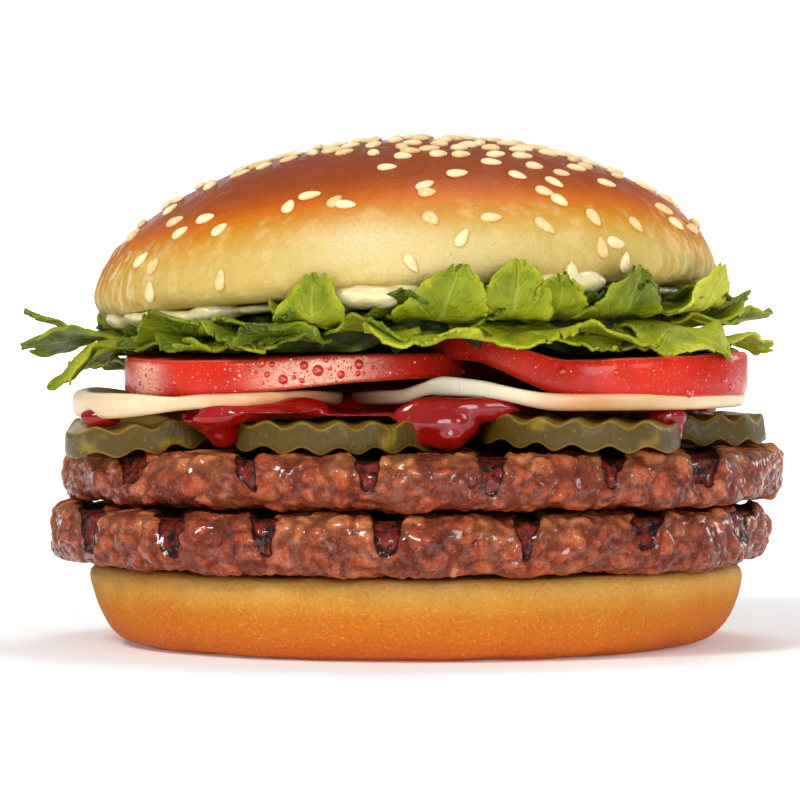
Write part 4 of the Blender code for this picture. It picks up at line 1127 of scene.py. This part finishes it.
def tomato_slice(name, x, y, radius, thickness, thin_left, thin_right, rise, seed):
    """A slice of tomato, uneven in thickness. The right one bends up on its left, over its neighbour."""
    half = thickness / 2
    inner = [radius * share for share in (0, 0.12, 0.25, 0.4, 0.54, 0.66, 0.76, 0.84, 0.9, 0.94)]
    side = []
    for turn in numpy.linspace(1.5, -1.5, 19).tolist():
        height = half * math.copysign(abs(math.sin(turn)) ** 0.55, turn)
        side.append((radius - 1.0 + math.cos(turn) ** 0.7, height))
    profile = [(r, half) for r in inner] + side + [(r, -half) for r in reversed(inner)]
    cut = round_body(f"{name}_slice", profile, 240)
    points = points_of(cut)
    reach = numpy.hypot(points[:, 0], points[:, 1])
    set_mark(cut, "reach", reach / radius)
    set_mark(cut, "face", smooth((abs(points[:, 2]) / half - 0.9) / 0.09))
    side_on = smooth((-18 - points[:, 1] - y) / 10) * smooth((half * 0.94 - abs(points[:, 2])) / 0.8)
    at = points[:, 0] + x
    # A fine film of tiny water drops on the front of the left slice, whose many small glints are painted as a
    # pale pink speckle
    misted = numpy.exp(-((at + 15.5) / 9.5) ** 4) + numpy.exp(-((at + 43.0) / 2.6) ** 2)
    set_mark(cut, "mist", misted * side_on if name == "tomato_left" else misted * 0)
    swell = 1 + 0.03 * noise_at(points * (1, 1, 0) + (0, 0, seed * 22.0), 22)
    across = 0.5 + points[:, 0] / (2 * radius)
    thin = (thin_right * across + thin_left * (1 - across)) * (0.5 + points[:, 2] / thickness)
    bent = rise * smooth((BEND_FROM - at) / BEND_OVER) + lie(at, y + points[:, 1])
    dimple = 0.12 * noise_at(points, 4, (seed, 0, 0)) * smooth((reach / radius - 0.3) / 0.3)
    moved = points.copy()
    moved[:, :2] *= swell[:, None]
    moved[:, 2] += half - thin + bent
    moved += normals_of(cut) * dimple[:, None]
    if name == "tomato_left":
        moved[:, 2] += LEFT_SLICE_UP + LEFT_SLICE_RISE * smooth((moved[:, 0] + 26) / 35)
    if name == "tomato_right":
        face = points[:, 2] / half
        thicker = numpy.where(face > 0, RIGHT_SLICE_ABOVE, RIGHT_SLICE_BELOW)
        moved[:, 2] += thicker * face * smooth((moved[:, 0] + x - 8) / 14)
    set_points(cut, moved + (x, y, TOMATO_BASE))
    return cut


class HAMBURGER_OT_tomatoes(bpy.types.Operator):
    """Adds the slices of tomato"""

    bl_idname = "hamburger.tomatoes"
    bl_label = "Tomato"

    def execute(self, context):
        chosen = settings()
        paint = Paint(
            "tomato", Coat_Roughness=0.1, Specular_IOR_Level=0.12, Subsurface_Weight=0.1,
            Subsurface_Scale=0.002, Subsurface_Radius=(1.0, 0.2, 0.1),
        )
        broad = paint.grain(9, 3)
        dots = paint.cells(0.8)
        side = paint.blend(paint.ease(broad, 0.35, 0.65), dark(chosen.tomato, 0.82), chosen.tomato)
        # Tiny specks of water over the skin, which the bump raises; their pale orange colour is painted
        # glints
        side = paint.blend(paint.ease(dots, 0.26, 0.1) * 0.45, side, screen(244, 140, 92))
        edge = paint.ease(paint.mark("reach"), 0.955, 0.985)
        pulp = paint.ramp(
            paint.mark("reach") + (paint.grain(5, 3) - 0.5) * 0.3,
            (0.0, screen(226, 120, 70)), (0.3, screen(206, 60, 28)), (0.45, screen(196, 84, 30)),
            (0.74, screen(204, 50, 24)), (0.9, screen(216, 58, 34)), (1.0, screen(226, 92, 56)),
        )
        colour = paint.blend(edge, pulp, side)
        # Painted glints of light on the fine film of water: a pale pink speckle over the front of the left
        # slice
        mist = paint.mark("mist") * paint.ease(paint.grain(0.35, 2, 0.5), 0.3, 0.6, 0.45, 0.85)
        colour = paint.blend(mist, colour, screen(244, 190, 162))
        rim = paint.ease(paint.mark("face"), 0.0, 1.0) * edge
        colour = paint.blend(rim * 0.35, colour, screen(240, 150, 104))
        paint.cover(
            Base_Color=colour, Roughness=paint.ease(broad, 0.3, 0.7, 0.2, 0.36) + paint.mark("face") * 0.3,
            Coat_Weight=paint.ease(paint.mark("face"), 0.1, 0.9, 0.2, 0.0),
            Normal=paint.bump(paint.ease(dots, 0.3, 0.05), 0.10, paint.bump(paint.grain(2.2, 3), 0.18)),
        )
        for name, sizes in TOMATOES.items():
            dress(tomato_slice(name, *sizes), paint, "tomato", name)
        return {"FINISHED"}


class HAMBURGER_OT_droplets(bpy.types.Operator):
    """Adds drops of water on the sides of the tomato"""

    bl_idname = "hamburger.droplets"
    bl_label = "Drops of water"

    def execute(self, context):
        tree = tree_of(*[bpy.data.objects[name] for name in ("tomato_left_slice", "tomato_right_slice")])
        bpy.ops.object.select_all(action="DESELECT")
        bpy.ops.mesh.primitive_uv_sphere_add(segments=16, ring_count=10, radius=MM)
        drop = new_piece("drop")
        places = []
        draw = random.Random(12)
        spots = list(TOMATO_DROPS)
        for _ in range(MIST_BEADS):
            column, row = draw.gauss(318, 42), draw.uniform(350, 386)
            spots.append((column, row, 0.07 + 0.2 * draw.random() ** 3))
        for _ in range(END_BEADS):
            spots.append((draw.gauss(142, 11), draw.uniform(362, 396), 0.06 + 0.14 * draw.random() ** 2))
        for _ in range(STRAY_BEADS):
            column = draw.uniform(150, 742)
            spots.append((column, draw.uniform(346, 398), 0.05 + 0.1 * draw.random() ** 3))
        taken = []
        for column, row, radius in spots:
            point, normal, _, _ = tree.ray_cast(*photo_ray(column, row))
            if not point or normal.y > -0.25 or abs(normal.z) > 0.6:
                continue
            point = point / MM
            if any((point - other).length < (radius + wide) * 1.02 for other, wide in taken):
                continue
            taken.append((point, radius))
            # Painted glints: some of the smaller beads get a tone above 1, and the material paints those
            # above about 1.5 pale
            light = draw.random() + (1.0 if radius < BEAD_RADIUS and draw.random() < 0.55 else 0.0)
            places.append((lying(point, normal, 0, radius * 0.35) @ Matrix.Scale(radius, 4), light))
        big = [place for place in places if place[0].median_scale > BEAD_RADIUS]
        small = [place for place in places if place[0].median_scale <= BEAD_RADIUS]
        bpy.ops.mesh.primitive_ico_sphere_add(subdivisions=2, radius=MM)
        bead = new_piece("bead")
        paint = Paint("wet_tomato", Roughness=0.08, Coat_Weight=1.0, Coat_Roughness=0.02)
        tone = paint.mark("tone")
        colour = paint.blend(paint.grain(3, 1), screen(186, 32, 16), screen(204, 48, 26))
        # Painted glint: beads with a tone above about 1.5 are pale, as if they caught the light
        colour = paint.blend(paint.ease(tone, 1.4, 1.6), colour, screen(250, 216, 190))
        paint.cover(Base_Color=colour)
        dress(scatter("tomato_drops", drop, big), paint, "tomato")
        dress(scatter("tomato_beads", bead, small), paint, "tomato")
        return {"FINISHED"}


# The sauces

def blob(middle, sizes):
    """A soft lump to melt into a sauce."""
    bpy.ops.object.select_all(action="DESELECT")
    bpy.ops.mesh.primitive_uv_sphere_add(segments=24, ring_count=14, radius=1)
    lump = new_piece("blob")
    set_points(lump, points_of(lump) * MM * sizes + middle)
    return lump


def soft_sauce(name, node, voxel, passes, ripple, moved=None, lumps=()):
    """A sauce in the form of its solid, with soft edges and slow ripples."""
    sauce = merged_copy(node, name)
    if moved:
        set_points(sauce, moved(points_of(sauce)))
    if lumps:
        sauce = join(name, [sauce, *[blob(middle, sizes) for middle, sizes in lumps]])
    apply(sauce, "REMESH", mode="VOXEL", voxel_size=voxel * MM)
    apply(sauce, "SMOOTH", factor=0.5, iterations=passes)
    points = points_of(sauce)
    reach = smooth((numpy.hypot(points[:, 0], points[:, 1]) - 42) / 5)
    points += normals_of(sauce) * (ripple * noise_at(points, 4.5) * reach)[:, None]
    set_points(sauce, points)
    apply(sauce, "DECIMATE", ratio=0.5)
    return sauce


def behind_the_chips(points):
    """Draws the ketchup at the front back behind the edges of the chips, and down under the left onion."""
    reach = numpy.hypot(points[:, 0], points[:, 1])
    azimuth = numpy.degrees(numpy.arctan2(points[:, 0], -points[:, 1]))
    front = smooth((azimuth + 16) / 10) * smooth((34 - azimuth) / 10)
    drawn_in = 1 - KETCHUP_IN * front * numpy.maximum(0, reach - 44) / numpy.maximum(reach, 1)
    points[:, :2] *= drawn_in[:, None]
    below_onion = smooth((azimuth + 64) / 8) * smooth((-8 - azimuth) / 6) * smooth((reach - 34) / 6)
    points[:, 2] -= KETCHUP_DOWN * below_onion * numpy.maximum(0, points[:, 2] - KETCHUP_DOWN_FROM)
    return points


class HAMBURGER_OT_ketchup(bpy.types.Operator):
    """Adds the ketchup, glossy and deep red"""

    bl_idname = "hamburger.ketchup"
    bl_label = "Ketchup"

    def execute(self, context):
        chosen = settings()
        ketchup = soft_sauce("ketchup_drips", "ketchup", 0.42, 14, 0.2, behind_the_chips, KETCHUP_LUMPS)
        points = points_of(ketchup)
        set_mark(ketchup, "open", smooth((numpy.hypot(points[:, 0], points[:, 1]) - 37) / 4))
        paint = Paint("ketchup", Specular_IOR_Level=0.15, Coat_Roughness=0.04)
        shown = paint.mark("open")
        thick = paint.ease(paint.grain(6, 3), 0.35, 0.65)
        colour = paint.blend(thick, dark(chosen.ketchup, 0.72), chosen.ketchup)
        paint.cover(
            Base_Color=colour, Roughness=0.9 - shown * 0.65, Coat_Weight=shown * 0.7,
            Normal=paint.bump(paint.grain(3.0, 2), 0.4),
        )
        dress(ketchup, paint, "ketchup", "ketchup")
        return {"FINISHED"}


class HAMBURGER_OT_mayonnaise(bpy.types.Operator):
    """Adds the mayonnaise that lips out under the crown"""

    bl_idname = "hamburger.mayonnaise"
    bl_label = "Mayonnaise"

    def execute(self, context):
        chosen = settings()
        mayo = soft_sauce("mayonnaise_lips", "mayonnaise", 0.5, 12, 0.4, lumps=MAYO_LUMPS)
        paint = Paint(
            "mayonnaise", Roughness=0.3, Coat_Weight=0.7, Coat_Roughness=0.08, Subsurface_Weight=0.35,
            Subsurface_Scale=0.004, Subsurface_Radius=(1.0, 0.8, 0.4),
        )
        thick = paint.ease(paint.grain(7, 3), 0.3, 0.7)
        colour = paint.blend(thick, dark(chosen.mayonnaise, 0.86), chosen.mayonnaise)
        paint.cover(Base_Color=colour, Normal=paint.bump(paint.grain(3.2, 2), 0.9))
        dress(mayo, paint, "mayonnaise", "mayonnaise")
        return {"FINISHED"}


# Lettuce

def leaf_points(leaf, along, across):
    """Points of a leaf's middle surface: along from root to tip, across from -1 to 1."""
    azimuth, reach, height, length, width, pitch, curl, roll, sway, ruffle, phase, _ = leaf
    share = numpy.linspace(0, 1, 61)
    heading = numpy.radians(pitch + (curl - pitch) * smooth((share - 0.3) / 0.4))
    run = numpy.concatenate([[0], numpy.cumsum(numpy.cos(heading[1:]))]) * length / 60
    climb = numpy.concatenate([[0], numpy.cumsum(numpy.sin(heading[1:]))]) * length / 60
    here = numpy.interp(along, share, heading)
    turned = numpy.radians(roll * along)
    belly = 0.5 * numpy.sin(math.pi * numpy.clip(along, 0, 1) ** 0.8)
    half_width = width / 2 * (0.75 + belly - 0.42 * along ** 3)
    ripple = abs(across) ** 1.4 * numpy.sin(2 * math.pi * (1.3 * along + 0.3 * across) + phase)
    frill = ruffle * smooth(0.1 + 2 * along) * (ripple + 0.35 * numpy.sin(3 * across + phase))
    edge = numpy.maximum(abs(across) ** 3, smooth((along - 0.7) / 0.3))
    frill = frill + 0.3 * edge * numpy.sin(2 * math.pi * (3.1 * along + 1.2 * across) + 2 * phase)
    side = across * half_width
    lift = frill + side * numpy.sin(turned)
    sideways = side * numpy.cos(turned) + sway * along
    outward = numpy.interp(along, share, run) - numpy.sin(here) * lift
    up = numpy.interp(along, share, climb) + numpy.cos(here) * lift
    turn = math.radians(azimuth)
    away = numpy.array((math.sin(turn), -math.cos(turn), 0))
    beside = numpy.array((math.cos(turn), math.sin(turn), 0))
    return (reach + outward)[:, None] * away + sideways[:, None] * beside + (height + up)[:, None] * (0, 0, 1)


def lettuce_leaf(leaf):
    """One thin leaf with a ragged edge, crumpled between its veins."""
    bpy.ops.object.select_all(action="DESELECT")
    bpy.ops.mesh.primitive_grid_add(
        x_subdivisions=LEAF_CELLS_ALONG, y_subdivisions=LEAF_CELLS_ACROSS, size=2
    )
    obj = new_piece("leaf")
    grid = points_of(obj) * MM
    phase, tone = leaf[10], leaf[11]
    along, across = (grid[:, 0] + 1) / 2, grid[:, 1]
    set_mark(obj, "along", along)
    set_mark(obj, "across", across)
    set_mark(obj, "tone", numpy.full(len(along), tone))
    where = numpy.stack([along * 10, numpy.sign(across) * 10, numpy.full(len(along), phase * 7)], 1)
    jag = 0.14 * noise_at(where, 2.0) + 0.07 * noise_at(where, 0.7)
    where = numpy.stack([across * 10, numpy.zeros(len(along)), numpy.full(len(along), phase * 9)], 1)
    notch = 0.13 * noise_at(where, 2.2) + 0.06 * noise_at(where, 0.8)
    wide = across * (1 + jag * abs(across))
    rounded = 0.16 * abs(across) ** 2.4 * smooth((along - 0.5) / 0.5)
    far = along * (1 + notch * smooth((along - 0.55) / 0.45) - rounded)
    points = leaf_points(leaf, far, wide)
    set_points(obj, points)
    crumple = 0.55 * noise_at(points, 4.2, (phase, 0, 0)) + 0.12 * noise_at(points, 1.8, (0, phase, 0))
    points += normals_of(obj) * crumple[:, None]
    set_points(obj, points)
    apply(obj, "SOLIDIFY", thickness=settings().leaf_thickness, offset=0)
    return obj


def small_leaves(first, last, count, draw):
    """Short leaves that fill the salad between the larger ones."""
    made = []
    for number in range(count):
        azimuth = first + (last - first) * (number + draw.uniform(0.1, 0.9)) / count
        turn = math.radians(azimuth)
        seat = crown_underside(46 * math.sin(turn), -46 * math.cos(turn))
        made.append((
            azimuth, draw.uniform(40, 43), seat - draw.uniform(2.6, 4.6), draw.uniform(9, 13),
            draw.uniform(8, 13), draw.uniform(-6, 10), draw.uniform(-12, 35), draw.uniform(-20, 20),
            draw.uniform(-3, 3), draw.uniform(0.6, 1.3), draw.uniform(0, 6), draw.random(),
        ))
    return made


def slices_top(tree, x, y):
    """The highest point of the slices within 3 mm of a place, and no lower than the middle of their layer."""
    found = [TOMATO_MIDDLE]
    for degrees in range(0, 360, 60):
        turn = math.radians(degrees)
        for reach in (0, 3):
            above = Vector((x + reach * math.cos(turn), y + reach * math.sin(turn), 58))
            hit = tree.ray_cast(above * MM, Vector((0, 0, -1)))[0]
            if hit:
                found.append(hit.z / MM)
    return max(found)


class HAMBURGER_OT_lettuce(bpy.types.Operator):
    """Adds the lettuce: a packed core and the leaves that show round it"""

    bl_idname = "hamburger.lettuce"
    bl_label = "Lettuce"

    def execute(self, context):
        chosen = settings()
        below = tree_of(*[bpy.data.objects[f"{name}_slice"] for name in TOMATOES])
        profile = [(LETTUCE_RADIUS * share, 1) for share in (0, 0.3, 0.5, 0.65, 0.78, 0.88, 0.95, 0.985, 1)]
        profile += [(LETTUCE_RADIUS, height) for height in (0.6, 0.2, -0.2, -0.6)]
        profile += [(radius, -height) for radius, height in reversed(profile[:9])]
        core = round_body("lettuce_core", profile, 240)
        level = points_of(core)
        points = level.copy()
        for number, (x, y, side) in enumerate(level.tolist()):
            low = slices_top(below, x, y)
            high = crown_underside(x, y) - MAYO_FILM - 2 * GAP - 0.2
            low = min(high - 2, low + 6 * smooth(1 - abs(x - 4) / 14) * smooth((-y - 26) / 8))
            points[number, 2] = low + GAP + 0.1 + (high - low - 0.4) * (side + 1) / 2
        rim = smooth((numpy.hypot(level[:, 0], level[:, 1]) - 38) / 6)
        folds = 1.5 * noise_at(points * (1, 1, 2.2), 4.5) + 0.8 * noise_at(points * (1, 1, 2), 1.9)
        points[:, :2] *= (1 + folds * rim / 46)[:, None]
        set_points(core, points)
        for name in ("along", "across"):
            set_mark(core, name, numpy.full(len(points), 0.5))
        # Painted shade: the core's tone is low, so that it shows dark green to brown, as the shade deep
        # between the leaves
        set_mark(core, "tone", -0.14 + 0.4 * smooth(folds + 0.2))

        paint = Paint(
            "lettuce", Roughness=0.42, Coat_Weight=0.05, Coat_Roughness=0.18, Specular_IOR_Level=0.12,
            Subsurface_Weight=0.2, Subsurface_Scale=0.0015, Subsurface_Radius=(0.5, 1.0, 0.15),
        )
        along, across, tone = paint.mark("along"), paint.mark("across"), paint.mark("tone")
        bent = paint.grain(5, 2)
        rib = paint.ease(abs(across + (bent - 0.5) * 0.3), 0.10, 0.02)
        branches = (along * 5.5 - abs(across) * 2.4 + (bent - 0.5) * 1.6) % 1.0
        vein = paint.ease(abs(branches - 0.5), 0.12, 0.02) * 0.7
        net = paint.ease(paint.cells(2.6, "DISTANCE_TO_EDGE"), 0.1, 0.02) * 0.2
        blotch = paint.grain(6, 3, 0.6)
        shade = tone * 0.72 + blotch * 0.66 + paint.ease(abs(across), 0.5, 1.0) * 0.12 - 0.21
        # The darkest stops are mostly painted shade: the core's low tone reaches them
        colour = paint.ramp(
            shade, (0.0, screen(40, 40, 10)), (0.12, dark(chosen.leaf_dark, 0.5)), (0.3, chosen.leaf_dark),
            (0.48, screen(112, 124, 14)), (0.68, screen(154, 160, 26)), (0.92, chosen.leaf_light),
        )
        lines = (rib + vein * (1 - rib) + net * (1 - rib)) * paint.ease(tone, 0.0, 0.2)
        colour = paint.blend(lines * 0.18, colour, screen(200, 204, 110))
        crumple = paint.bump(paint.grain(2.4, 3), 0.55, paint.bump(lines, -0.18))
        paint.cover(Base_Color=colour, Normal=crumple)
        dress(core, paint, "lettuce", "lettuce")
        draw = random.Random(21)
        front = [*FRONT_LEAVES, *LOW_LEAVES, *small_leaves(-92, 92, 16, draw)]
        back = [*BACK_LEAVES, *small_leaves(94, 266, 16, draw)]
        for azimuth in LOW_BACK_LEAVES:
            turn = math.radians(azimuth)
            seat = slices_top(below, 45 * math.sin(turn), -45 * math.cos(turn)) + 1.7
            spans = ((-8, 8), (-2, 2), (0, 6), (0.3, 0.7))
            roll, sway, phase, tone = (draw.uniform(*span) for span in spans)
            back.append((azimuth, 42, seat, 12, 14, -4, -9, roll, sway, 0.9, phase, tone))
        for name, leaves in (("lettuce_front", front), ("lettuce_back", back)):
            dress(join(name, [lettuce_leaf(leaf) for leaf in leaves]), paint, "lettuce")
        return {"FINISHED"}


# The add-on

STEPS = (
    HAMBURGER_OT_stage, HAMBURGER_OT_heel, HAMBURGER_OT_patties, HAMBURGER_OT_pickles,
    HAMBURGER_OT_ketchup, HAMBURGER_OT_onions, HAMBURGER_OT_tomatoes, HAMBURGER_OT_droplets,
    HAMBURGER_OT_lettuce, HAMBURGER_OT_mayonnaise, HAMBURGER_OT_crown, HAMBURGER_OT_seeds,
)


class HAMBURGER_PT_panel(bpy.types.Panel):
    """Lists the settings and the steps in the sidebar."""

    bl_label = "Hamburger"
    bl_space_type = "VIEW_3D"
    bl_region_type = "UI"
    bl_category = "Hamburger"

    def draw(self, context):
        for name in HamburgerSettings.__annotations__:
            self.layout.prop(context.scene.hamburger, name)
        for step in STEPS:
            self.layout.operator(step.bl_idname)


CLASSES = (HamburgerSettings, *STEPS, HAMBURGER_PT_panel)


def register():
    """Makes the settings, the steps and the panel known to Blender."""
    for made in CLASSES:
        bpy.utils.register_class(made)
    bpy.types.Scene.hamburger = bpy.props.PointerProperty(type=HamburgerSettings)


def unregister():
    """Takes them away again."""
    del bpy.types.Scene.hamburger
    for made in reversed(CLASSES):
        bpy.utils.unregister_class(made)


def main():
    """Builds the scene step by step."""
    register()
    for step in STEPS:
        group, name = step.bl_idname.split(".")
        getattr(getattr(bpy.ops, group), name)()


if __name__ == "__main__":
    main()
